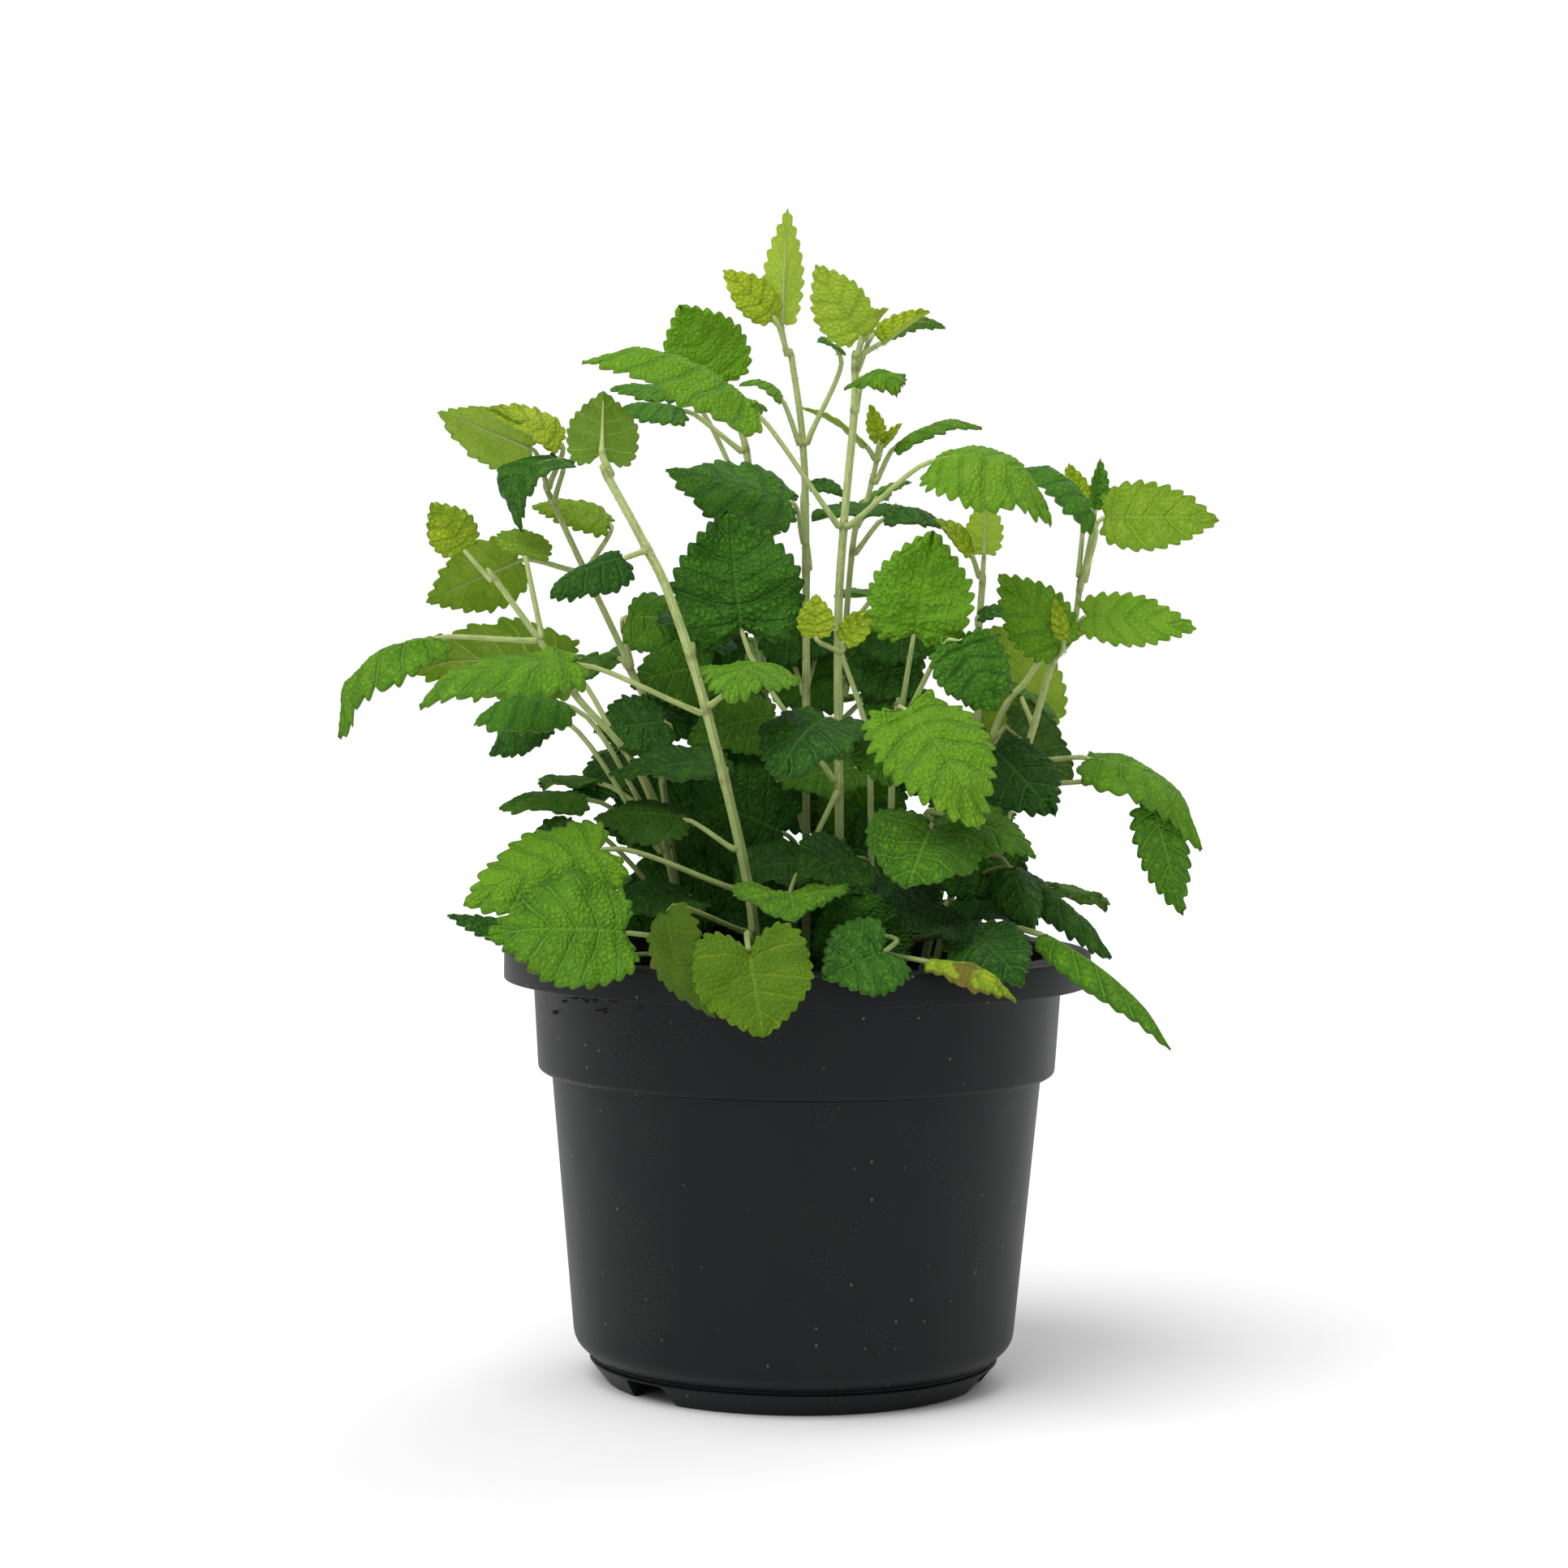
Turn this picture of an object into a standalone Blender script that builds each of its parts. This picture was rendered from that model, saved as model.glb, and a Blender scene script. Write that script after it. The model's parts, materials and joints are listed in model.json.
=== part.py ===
"""A potted lemon balm: a moulded nursery pot, potting soil, square stems and stalked leaves.

Metres, +Z up. The origin is under the middle of the pot's base and -Y is the front.
The plant tables are in millimetres from the middle of the rim's top plane.
"""

import math
from collections import namedtuple

import bmesh
import bpy
from mathutils import Vector

# Pot
POT_HEIGHT = 0.096
RIM_RADIUS = 0.065
RIM_WIDTH = 0.0062
LIP_HEIGHT = 0.007
BAND_HEIGHT = 0.0205
BAND_DRAFT = 0.0015
BAND_STEP = 0.003
BASE_RADIUS = 0.0488
FOOT_HEIGHT = 0.0048
FOOT_RADIUS = 0.0417
FOOT_SET_IN = 0.0035
FLOOR_UNDERSIDE = 0.0025
WALL = 0.0013
HUB_RADIUS = 0.010
ROUND_STEPS = 48
NOTCH_COUNT = 3
NOTCH_FIRST = math.radians(-133)
NOTCH_WIDTH = 0.0136
HOLE_COUNT = 6
HOLE_RADIUS = 0.004
HOLE_CIRCLE = 0.030

# Soil
SOIL_BELOW_RIM = 0.0095
SOIL_RISE = 0.0025
SOIL_FROM_WALL = 0.0004

# Plant
PLANT_HEIGHT = 0.164
LEAF_REACH = 0.0385
STEM_SCALE = 1.0
LEAF_SCALE = 1.0
LEAF_THICKNESS = 0.0007

# In table millimetres: the width of a leaf stalk, and the gap between touching pieces
STALK_WIDTH = 1.5
GAP = 0.3

# The rim radius, plant height and leaf reach past the rim that the tables are drawn for
TABLE_RIM = 65.0
TABLE_HEIGHT = 164.0
TABLE_REACH = 38.5
MM = 0.001

# Base colours

STEM = (0.62, 0.66, 0.38)
GREEN = (0.20, 0.38, 0.07)
DARK = (0.09, 0.23, 0.05)
PALE = (0.38, 0.50, 0.14)
YELLOW = (0.55, 0.62, 0.14)

# Each stem: radius of its corners, then its line from the foot up. A foot has no height of its own.
STEMS = {
    "stem_1": (1.3, ((-22, -12), (-33, -15, 35), (-49, -17, 56), (-57, -18, 68), (-68, -20, 83))),
    "stem_2": (1.3, ((-24, 4), (-32, 2, 45), (-38, 1, 62), (-48, 0, 83), (-57, -2, 102))),
    "stem_3": (
        1.8,
        ((-8, -34), (-11, -34, 17), (-20, -34, 53), (-28, -33, 77), (-34, -32, 89), (-43, -30, 105)),
    ),
    "stem_4": (1.4, ((2, 8), (1, 8, 84), (0, 8, 112), (-3, 8, 133))),
    "stem_5": (1.6, ((9, -16), (9, -16, 13), (8, -15, 68), (9, -14, 93), (11, -14, 118), (11, -14, 131))),
    "stem_6": (1.5, ((28, 18), (40, 17, 50), (40, 16, 66), (41, 15, 84))),
    "stem_7": (1.3, ((36, 2), (52, 1, 50), (56, 0, 64), (60, 0, 70), (62, 0, 84))),
    "stem_8": (1.3, ((30, 11), (43, 10, 46), (51, 10, 60), (55, 9, 66))),
    "stem_9": (1.5, ((-4, 22), (-9, 21, 70), (-12, 20, 106), (-15, 20, 119))),
    "stem_10": (1.1, ((16, -28), (15, -28, 40), (14, -27, 50), (8, -26, 67))),
    "stem_11": (1.3, ((20, -12), (20, -18, 40), (21, -24, 56))),
    "stem_12": (1.1, ((6, 17), (11, 14, 84), (15, 14, 101), (17, 14, 110))),
}

# node: height on the stem. base and tip: the ends of the midrib. face: where the upper side looks.
# bow: how far the midrib arches towards the face. fold: how far each half is raised, in degrees.
# notch: how far the base lobes reach back. colour: its slot, without "leaf_".
Leaf = namedtuple("Leaf", "name stem node base tip width face bow fold notch colour")
LEAVES = (
    Leaf("leaf_1a", 1, 81, (-73, -20, 87), (-80, -21, 97), 11, (-0.3, -0.8, 0.6), 0.0, 15, 0.1, "yellow"),
    Leaf("leaf_1c", 1, 68, (-79, -22, 68), (-101, -24, 48), 17, (-0.4, -0.4, 0.85), 0.2, -35, 0.1, "green"),
    Leaf("leaf_1d", 1, 44, (-53, -4, 62), (-86, -6, 62), 23, (0, 0.75, 0.65), 0.05, 0, 0.2, "pale"),
    Leaf("leaf_1e", 1, 28, (-50, -26, 54), (-70, -28, 50), 18, (0, -0.3, 0.95), 0.15, -30, 0.1, "dark"),
    Leaf("leaf_1f", 1, 22, (-56, -12, 51), (-68, -14, 43), 14, (-0.2, -0.5, 0.8), 0.1, -25, 0.1, "dark"),
    Leaf("leaf_2a", 2, 101, (-60, -4, 110), (-80, -4, 118), 20, (0, 0.55, 0.83), 0.0, -10, 0.15, "pale"),
    Leaf("leaf_2c", 2, 98, (-53, -12, 107), (-61, -14, 91), 20, (-0.7, -0.6, 0.3), 0.42, -10, 0.1, "dark"),
    Leaf("leaf_2d", 2, 83, (-63, 0, 85), (-83, -2, 76), 20, (-0.3, 0.7, 0.6), 0.0, 0, 0.15, "pale"),
    Leaf("leaf_3a", 3, 103, (-43, -27, 108), (-43, -22, 121), 18, (0, 0.85, 0.4), 0.0, 10, 0.3, "pale"),
    Leaf("leaf_3c", 3, 87, (-38, -38, 85), (-53, -42, 77), 15, (-0.1, -0.6, 0.8), 0.1, -25, 0.1, "dark"),
    Leaf("leaf_3d", 3, 53, (-48, -44, 63), (-80, -48, 56), 19, (0, -0.5, 0.87), 0.08, -15, 0.15, "green"),
    Leaf("leaf_3e", 3, 54, (-9, -38, 63), (-15, -59, 57), 21, (0, -0.5, 0.87), 0.1, -15, 0.25, "green"),
    Leaf("leaf_3g", 3, 24, (-25, -31, 30), (-44, -30, 30), 20, (0, -0.38, 0.93), 0.05, -10, 0.15, "green"),
    Leaf("leaf_3h", 3, 15, (-42, -45, 24), (-70, -51, 13), 23, (-0.1, -0.8, 0.6), 0.05, -15, 0.2, "green"),
    Leaf("leaf_3i", 3, 0, (-36, -60, 8), (-64, -66, 8), 26, (-0.1, -0.85, 0.5), 0.05, 0, 0.15, "green"),
    Leaf("leaf_3j", 3, 6, (-27, -62, 12), (-18, -73, -8), 18, (-0.6, -0.6, 0.5), 0.15, -10, 0.1, "yellow"),
    Leaf("leaf_3k", 3, 3, (-10, -75, 5), (-7, -80, -11), 24, (0.05, -1, 0.2), 0.0, 8, 0.4, "yellow"),
    Leaf("leaf_4a", 4, 132, (-5, 8, 139), (-4, 8, 164), 9, (-0.2, 1, 0.1), 0.0, 10, 0.1, "pale"),
    Leaf("leaf_4e", 4, 90, (-3, 0, 99), (-30, -2, 106), 26, (0, -0.55, 0.83), 0.0, -10, 0.15, "dark"),
    Leaf("leaf_9a", 9, 117, (-19, 17, 126), (-28, 14, 143), 21, (0.2, -1, 0.2), 0.0, 0, 0.15, "dark"),
    Leaf("leaf_9b", 9, 111, (-27, 19, 120), (-44, 18, 119), 14, (0, -0.3, 0.95), 0.1, -20, 0.1, "dark"),
    Leaf("leaf_5a", 5, 130, (12, -16, 134), (2, -17, 149), 13, (-0.6, -0.7, 0.4), 0.0, 10, 0.1, "pale"),
    Leaf("leaf_5c", 5, 127, (17, -2, 137), (31, -1, 138), 11, (0, 0.3, 0.95), 0.1, -15, 0.1, "green"),
    Leaf("leaf_5d", 5, 118, (13, -18, 125), (20, -25, 121), 15, (0.3, -0.7, 0.7), 0.25, -10, 0.1, "green"),
    Leaf("leaf_5e", 5, 93, (-11, -22, 118), (-47, -24, 129), 23, (0, -0.4, 0.92), 0.14, -25, 0.15, "green"),
    Leaf("leaf_5f", 5, 93, (28, -28, 107), (53, -34, 94), 25, (0.15, -0.6, 0.8), 0.25, -25, 0.05, "green"),
    Leaf("leaf_5g", 5, 38, (-13, -26, 71), (-16, -24, 96), 28, (0, -1, 0.3), 0.0, 5, 0.25, "dark"),
    Leaf("leaf_5h", 5, 35, (-2, -42, 15), (-1, -62, 11), 24, (0, -0.45, 0.9), 0.05, 18, 0.3, "green"),
    Leaf("leaf_5i", 5, 5, (17, -66, 5), (5, -72, 0), 18, (0, -0.85, 0.5), 0.0, 5, 0.3, "dark"),
    Leaf("leaf_12b", 12, 104, (21, 14, 112), (40, 14, 117), 9, (0, -0.3, 0.95), 0.12, -15, 0.1, "green"),
    Leaf("leaf_6a", 6, 82, (41, 13, 88), (41, 12, 101), 9, (0.1, 1, 0), 0.0, 25, 0.1, "pale"),
    Leaf("leaf_11a", 11, 55, (24, -30, 70), (28, -27, 92), 22, (0.1, -1, 0.35), 0.0, 5, 0.2, "dark"),
    Leaf("leaf_11b", 11, 50, (33.5, -34, 68), (41.5, -37, 54), 18, (0.25, -0.95, 0.3), 0.0, 0, 0.15, "dark"),
    Leaf("leaf_11c", 11, 46, (22, -46, 54), (37, -62, 31), 25, (0.1, -0.75, 0.65), 0.1, -10, 0.15, "green"),
    Leaf("leaf_11d", 11, 10, (27, -50, 29), (22, -62, 18), 24, (0, -0.75, 0.65), 0.0, 5, 0.35, "green"),
    Leaf("leaf_11e", 11, 3, (52, -46, 7), (77, -62, -14), 15, (0.2, -0.5, 0.8), 0.08, -50, 0.1, "green"),
    Leaf("leaf_10a", 10, 66, (3, -30, 69), (3, -31, 78), 8, (0, -1, 0.1), 0.0, 5, 0.1, "yellow"),
    Leaf("leaf_10c", 10, 44, (6, -36, 52), (-5, -56, 40), 22, (-0.1, -0.6, 0.8), 0.1, -10, 0.2, "dark"),
    Leaf("leaf_10e", 10, 8, (30, -49, 13.5), (21, -55, 9.5), 20, (0, -0.7, 0.7), 0.0, 5, 0.3, "dark"),
    Leaf("leaf_7a", 7, 82, (67, -1, 96), (92, -2, 96), 17, (0, -0.9, 0.45), 0.0, 5, 0.1, "pale"),
    Leaf("leaf_7b", 7, 69, (63, -6, 74), (87, -6, 72), 13, (0, -0.85, 0.5), 0.0, 5, 0.15, "green"),
    Leaf("leaf_7c", 7, 67, (57, -10, 67), (43, -11, 83), 15, (-0.4, -0.8, 0.5), 0.1, -10, 0.1, "green"),
    Leaf("leaf_7d", 7, 80, (64, -9, 95), (47, -8, 107), 14, (0.3, -0.4, 0.9), 0.18, -25, 0.1, "dark"),
    Leaf("leaf_7g", 7, 42, (64, -8, 43), (89, -10, 24), 17, (0.3, -0.5, 0.8), 0.18, -20, 0.1, "green"),
    Leaf("leaf_8a", 8, 38, (42, -22, 45), (54, -38, 32), 17, (0.1, -0.9, 0.4), 0.0, -10, 0.2, "dark"),
    Leaf("leaf_8c", 8, 36, (77, -14, 33), (84, -15, 9), 12, (0.2, -1, 0.1), 0.0, -15, 0.1, "green"),
)

SLOTS = {
    "pot_plastic": ((0.03, 0.032, 0.034), 0.38),
    "potting_soil": ((0.055, 0.035, 0.022), 0.95),
    "stem_green": (STEM, 0.55),
    "leaf_green": (GREEN, 0.5),
    "leaf_dark": (DARK, 0.45),
    "leaf_pale": (PALE, 0.55),
    "leaf_yellow": (YELLOW, 0.55),
}

# Rows of a blade from its base to its tip, and whether each row's edge stands out as a tooth
BLADE_ROWS = (
    (0.07, 1), (0.16, 0), (0.27, 1), (0.38, 0), (0.49, 1), (0.6, 0), (0.71, 1), (0.81, 0), (0.91, 1)
)
STALK_ROWS = 4


def clear_scene():
    for obj in list(bpy.data.objects):
        bpy.data.objects.remove(obj)


def new_collection(name):
    collection = bpy.data.collections.new(name)
    bpy.context.scene.collection.children.link(collection)
    return collection


def material(slot):
    found = bpy.data.materials.get(slot)
    if found:
        return found
    colour, roughness = SLOTS[slot]
    made = bpy.data.materials.new(slot)
    made.use_nodes = True
    shader = made.node_tree.nodes["Principled BSDF"]
    shader.inputs["Base Color"].default_value = (*colour, 1)
    shader.inputs["Roughness"].default_value = roughness
    shader.inputs["Metallic"].default_value = 0.0
    return made


def add_object(name, data, collection, slot=None):
    obj = bpy.data.objects.new(name, data)
    collection.objects.link(obj)
    if slot:
        data.materials.append(material(slot))
    return obj


def smooth(mesh, angle):
    mesh.shade_smooth()
    mesh.set_sharp_from_angle(angle=angle)


def turned(name, profile, collection, slot):
    """A closed ring, or a line that ends on the axis, turned about Z."""
    mesh = bpy.data.meshes.new(name)
    count = len(profile)
    closed = profile[0][0] > 0 or profile[-1][0] > 0
    edges = [(i, (i + 1) % count) for i in range(count if closed else count - 1)]
    mesh.from_pydata([(radius, 0, height) for radius, height in profile], edges, [])
    obj = add_object(name, mesh, collection, slot)
    screw = obj.modifiers.new("Turn", "SCREW")
    screw.steps = screw.render_steps = ROUND_STEPS
    screw.use_merge_vertices = True
    screw.merge_threshold = 0.00001
    screw.use_smooth_shade = True
    return obj


def pot_outline():
    """(outer side from the rim down to the hub, inner side from the floor up to the rim).

    The rim is a hollow flange, open underneath between its skirt and the band.
    The hub under the floor reaches down to the plane of the foot ring.
    """
    lip_z = POT_HEIGHT - LIP_HEIGHT
    step_z = lip_z - BAND_HEIGHT
    band_top = RIM_RADIUS - RIM_WIDTH
    band_low = band_top - BAND_DRAFT
    body_top = band_low - BAND_STEP
    skirt = RIM_RADIUS - WALL
    groove_z = POT_HEIGHT - WALL
    base_z = FOOT_HEIGHT + 0.003
    foot_inner = FOOT_RADIUS - 2 * WALL
    outer = [
        (RIM_RADIUS - 0.0009, POT_HEIGHT),
        (RIM_RADIUS, POT_HEIGHT - 0.0009),
        (RIM_RADIUS, lip_z),
        (skirt, lip_z),
        (skirt, groove_z),
        (band_top, groove_z - 0.001),
        (band_low, step_z + 0.0012),
        (band_low - 0.001, step_z),
        (body_top, step_z),
        (BASE_RADIUS, base_z + 0.002),
        (BASE_RADIUS - 0.0012, base_z - 0.001),
        (FOOT_RADIUS + FOOT_SET_IN, FOOT_HEIGHT),
        (FOOT_RADIUS, 0.0),
        (foot_inner, 0.0),
        (foot_inner, FLOOR_UNDERSIDE),
        (HUB_RADIUS, FLOOR_UNDERSIDE),
        (HUB_RADIUS, 0.0),
        (0.0, 0.0),
    ]
    floor_z = FLOOR_UNDERSIDE + WALL
    inner = [
        (0.0, floor_z),
        (foot_inner, floor_z),
        (FOOT_RADIUS + FOOT_SET_IN - WALL, FOOT_HEIGHT + WALL),
        (BASE_RADIUS - WALL, base_z + 0.002),
        (body_top - WALL, step_z + WALL),
        (band_low - WALL, step_z + WALL + 0.001),
        (band_top - WALL, POT_HEIGHT - 0.0006),
        (band_top - WALL + 0.0006, POT_HEIGHT),
    ]
    return outer, inner


def inner_radius(height):
    """The inside radius of the pot at a height."""
    inner = pot_outline()[1]
    for (low_r, low_z), (high_r, high_z) in zip(inner, inner[1:]):
        if low_z <= height <= high_z and high_z > low_z:
            return low_r + (high_r - low_r) * (height - low_z) / (high_z - low_z)
    return inner[-1][0]


def cutter(name, mesh_maker, collection, place, turn):
    mesh = bpy.data.meshes.new(name)
    shape = bmesh.new()
    mesh_maker(shape)
    shape.to_mesh(mesh)
    shape.free()
    obj = add_object(name, mesh, collection)
    obj.location = place
    obj.rotation_euler = (0, 0, turn)
    obj.hide_render = True
    obj.display_type = "WIRE"
    return obj


def notch_shape(shape):
    """A block across the foot ring, wider at the floor than at its top."""
    bmesh.ops.create_cube(shape, size=1)
    for vertex in shape.verts:
        top = vertex.co.z > 0
        vertex.co.x *= 0.018
        vertex.co.y *= NOTCH_WIDTH * (0.72 if top else 1.0)
        vertex.co.z = FLOOR_UNDERSIDE - 0.0005 if top else -0.002


def hole_shape(shape):
    bmesh.ops.create_cone(
        shape, cap_ends=True, segments=12, radius1=HOLE_RADIUS, radius2=HOLE_RADIUS, depth=0.02
    )


def cut(obj, tool):
    boolean = obj.modifiers.new("Cut", "BOOLEAN")
    boolean.operation = "DIFFERENCE"
    boolean.solver = "EXACT"
    boolean.object = tool


def make_pot(collection, tools):
    outer, inner = pot_outline()
    pot = turned("pot", outer + inner, collection, "pot_plastic")
    for index in range(NOTCH_COUNT):
        turn = NOTCH_FIRST + index * 2 * math.pi / NOTCH_COUNT
        place = Vector((math.cos(turn), math.sin(turn), 0)) * (FOOT_RADIUS - WALL)
        cut(pot, cutter("notch_tool_%d" % index, notch_shape, tools, place, turn))
    for index in range(HOLE_COUNT):
        turn = NOTCH_FIRST + (index + 0.5) * 2 * math.pi / HOLE_COUNT
        place = Vector((math.cos(turn), math.sin(turn), 0)) * HOLE_CIRCLE
        cut(pot, cutter("hole_tool_%d" % index, hole_shape, tools, place, turn))
    return pot


def soil_height(x, y):
    """The height of the soil's gentle dome."""
    edge = inner_radius(POT_HEIGHT - SOIL_BELOW_RIM)
    share = min(1.0, math.hypot(x, y) / edge)
    return POT_HEIGHT - SOIL_BELOW_RIM + SOIL_RISE * (0.5 - share * share)


def make_soil(collection):
    """The soil fills the pot, a clearance inside its walls and floor."""
    inner = pot_outline()[1]
    sides = [(radius - SOIL_FROM_WALL, height + SOIL_FROM_WALL) for radius, height in inner[1:6]]
    edge = inner_radius(POT_HEIGHT - SOIL_BELOW_RIM) - SOIL_FROM_WALL
    top = [(edge * share, soil_height(edge * share, 0)) for share in (1.0, 0.7, 0.4, 0.0)]
    bottom = [(0.0, inner[0][1] + SOIL_FROM_WALL)]
    profile = list(reversed(bottom + sides + top))
    return turned("potting_soil", profile, collection, "potting_soil")


def placed(point):
    """A table point as a place in the world: up to the rim the plant follows the pot."""
    x, y, z = point
    reach = math.hypot(x, y)
    inside = min(reach, TABLE_RIM)
    outside = reach - inside
    grown = inside * RIM_RADIUS / TABLE_RIM + outside * LEAF_REACH / TABLE_REACH
    share = grown / reach if reach > 0 else 0.0
    rise = z * (PLANT_HEIGHT / TABLE_HEIGHT if z > 0 else MM)
    return Vector((x * share, y * share, POT_HEIGHT + rise))


def table_height(height):
    """The table height of a height in the world, at or under the rim."""
    return (height - POT_HEIGHT) / MM


def stem_line(name):
    """The stem's points in the table, with its foot a gap above the soil."""
    foot, *rest = STEMS[name][1]
    world = placed((*foot, 0))
    ground = soil_height(world.x, world.y) + GAP * MM
    return [Vector((*foot, table_height(ground)))] + [Vector(point) for point in rest]


def stem_radius(name, share):
    """A stem tapers a little to its top."""
    return STEMS[name][0] * STEM_SCALE * (1.0 - 0.25 * share)


def point_on_stem(name, height):
    """(point, direction, radius) where the stem passes a table height."""
    line = stem_line(name)
    for index, (low, high) in enumerate(zip(line, line[1:])):
        if height <= high.z or index == len(line) - 2:
            share = (height - low.z) / (high.z - low.z)
            whole = (index + share) / (len(line) - 1)
            return low.lerp(high, share), (high - low).normalized(), stem_radius(name, whole)
    raise ValueError("%s has no point at %g" % (name, height))


def make_stem(name, collection):
    line = stem_line(name)
    curve = bpy.data.curves.new(name, "CURVE")
    curve.dimensions = "3D"
    curve.twist_mode = "MINIMUM"
    curve.bevel_depth = MM
    curve.bevel_resolution = 0
    curve.use_fill_caps = True
    spline = curve.splines.new("POLY")
    spline.points.add(len(line) - 1)
    for index, point in enumerate(line):
        spline.points[index].co = (*placed(point), 1)
        spline.points[index].radius = stem_radius(name, index / (len(line) - 1))
    return add_object(name, curve, collection, "stem_green")


def outline(s, notch):
    """(distance along the midrib, half width) of the edge, as shares, for s from base to tip."""
    back = notch * math.sin(math.pi * s / 0.35) if s < 0.35 else 0.0
    return s - back, math.sin(math.pi * s**0.6) ** 0.75


def blade_frame(leaf):
    """(base, axis, across, up, length) of a blade in the table."""
    base = Vector(leaf.base)
    axis = (Vector(leaf.tip) - base) * LEAF_SCALE
    length = axis.length
    axis.normalize()
    face = Vector(leaf.face)
    up = (face - axis * face.dot(axis)).normalized()
    return base, axis, axis.cross(up), up, length


def blade_point(leaf, frame, s, t, stretch=1.0):
    """A point of the blade: s from base to tip, t from -1 at one edge to 1 at the other."""
    base, axis, across, up, length = frame
    edge_along, edge_side = outline(s, leaf.notch)
    along = s**1.2 * (1 - abs(t)) + edge_along * abs(t)
    side = edge_side * t * stretch * LEAF_SCALE * leaf.width / 2
    fold = math.radians(leaf.fold)
    arch = leaf.bow * 4 * along * (1 - along) * length
    rise = arch + math.sin(fold) * abs(side)
    return base + axis * along * length + across * math.cos(fold) * side + up * rise


def stalk_points(leaf, frame):
    """Points of the leaf stalk from the stem's side to the blade."""
    base, axis, across, up, _ = frame
    heading = (axis + up * 4 * leaf.bow).normalized()
    node, along_stem, radius = point_on_stem("stem_%d" % leaf.stem, leaf.node)
    way = base - node
    outward = way - along_stem * way.dot(along_stem)
    if outward.length < STALK_WIDTH / 2:
        outward = across.copy()
    outward.normalize()
    start = node + outward * (radius + GAP + STALK_WIDTH / 2)
    way = base - start
    points = []
    for index in range(STALK_ROWS):
        u = index / STALK_ROWS
        points.append(
            start * (2 * u**3 - 3 * u**2 + 1)
            + way * (u**3 - 2 * u**2 + u)
            + base * (3 * u**2 - 2 * u**3)
            + heading * way.length * 0.7 * (u**3 - u**2)
        )
    return points


def stalk_edges(leaf, frame):
    """Both edges of the flat leaf stalk, carried back from the blade without a twist."""
    points = stalk_points(leaf, frame) + [frame[0]]
    across = frame[2]
    rows = []
    for index in range(len(points) - 1, -1, -1):
        ahead = points[min(index + 1, len(points) - 1)]
        behind = points[max(index - 1, 0)]
        tangent = (ahead - behind).normalized()
        across = (across - tangent * across.dot(tangent)).normalized()
        half = across * STALK_WIDTH / 2
        rows.insert(0, (points[index] - half, points[index] + half))
    return rows


def make_leaf(leaf, collection):
    """One sheet from the stem to the tip, given its thickness by a Solidify."""
    frame = blade_frame(leaf)
    shape = bmesh.new()
    stalk = [[shape.verts.new(placed(p)) for p in row] for row in stalk_edges(leaf, frame)]
    for low, high in zip(stalk, stalk[1:]):
        shape.faces.new((low[0], low[1], high[1], high[0]))
    rows = []
    for s, tooth in BLADE_ROWS:
        row = []
        for t in (-1.0, -0.5, 0.0, 0.5, 1.0):
            stretch = 1.0 + (0.05 if tooth else -0.07) * (abs(t) == 1.0)
            row.append(shape.verts.new(placed(blade_point(leaf, frame, s, t, stretch))))
        rows.append(row)
    left, right = stalk[-1]
    first = rows[0]
    fan = (
        (left, first[1], first[0]),
        (left, first[2], first[1]),
        (left, right, first[2]),
        (right, first[3], first[2]),
        (right, first[4], first[3]),
    )
    for corners in fan:
        shape.faces.new(corners)
    for low, high in zip(rows, rows[1:]):
        for a, b, c, d in zip(low, low[1:], high[1:], high):
            shape.faces.new((a, b, c, d))
    tip = shape.verts.new(placed(blade_point(leaf, frame, 1.0, 0.0)))
    for a, b in zip(rows[-1], rows[-1][1:]):
        shape.faces.new((a, b, tip))
    bmesh.ops.recalc_face_normals(shape, faces=shape.faces)
    mesh = bpy.data.meshes.new(leaf.name)
    shape.to_mesh(mesh)
    shape.free()
    obj = add_object(leaf.name, mesh, collection, "leaf_" + leaf.colour)
    sheet = obj.modifiers.new("Thickness", "SOLIDIFY")
    sheet.thickness = LEAF_THICKNESS
    sheet.offset = 0.0
    smooth(mesh, math.radians(60))
    return obj


def main():
    clear_scene()
    plant = new_collection("potted_lemon_balm")
    tools = new_collection("tools")
    make_pot(plant, tools)
    make_soil(plant)
    for name in STEMS:
        make_stem(name, plant)
    for leaf in LEAVES:
        make_leaf(leaf, plant)


main()
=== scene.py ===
"""The looks of a potted lemon balm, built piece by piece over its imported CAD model.

Metres, +Z up. The plant's tables are in millimetres from the middle of the rim's top plane.
"""

import json
import math
import random
from collections import namedtuple

import bmesh
import bpy
from bpy.props import FloatProperty, FloatVectorProperty, IntProperty, PointerProperty
from mathutils import Matrix, Vector, noise

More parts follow.
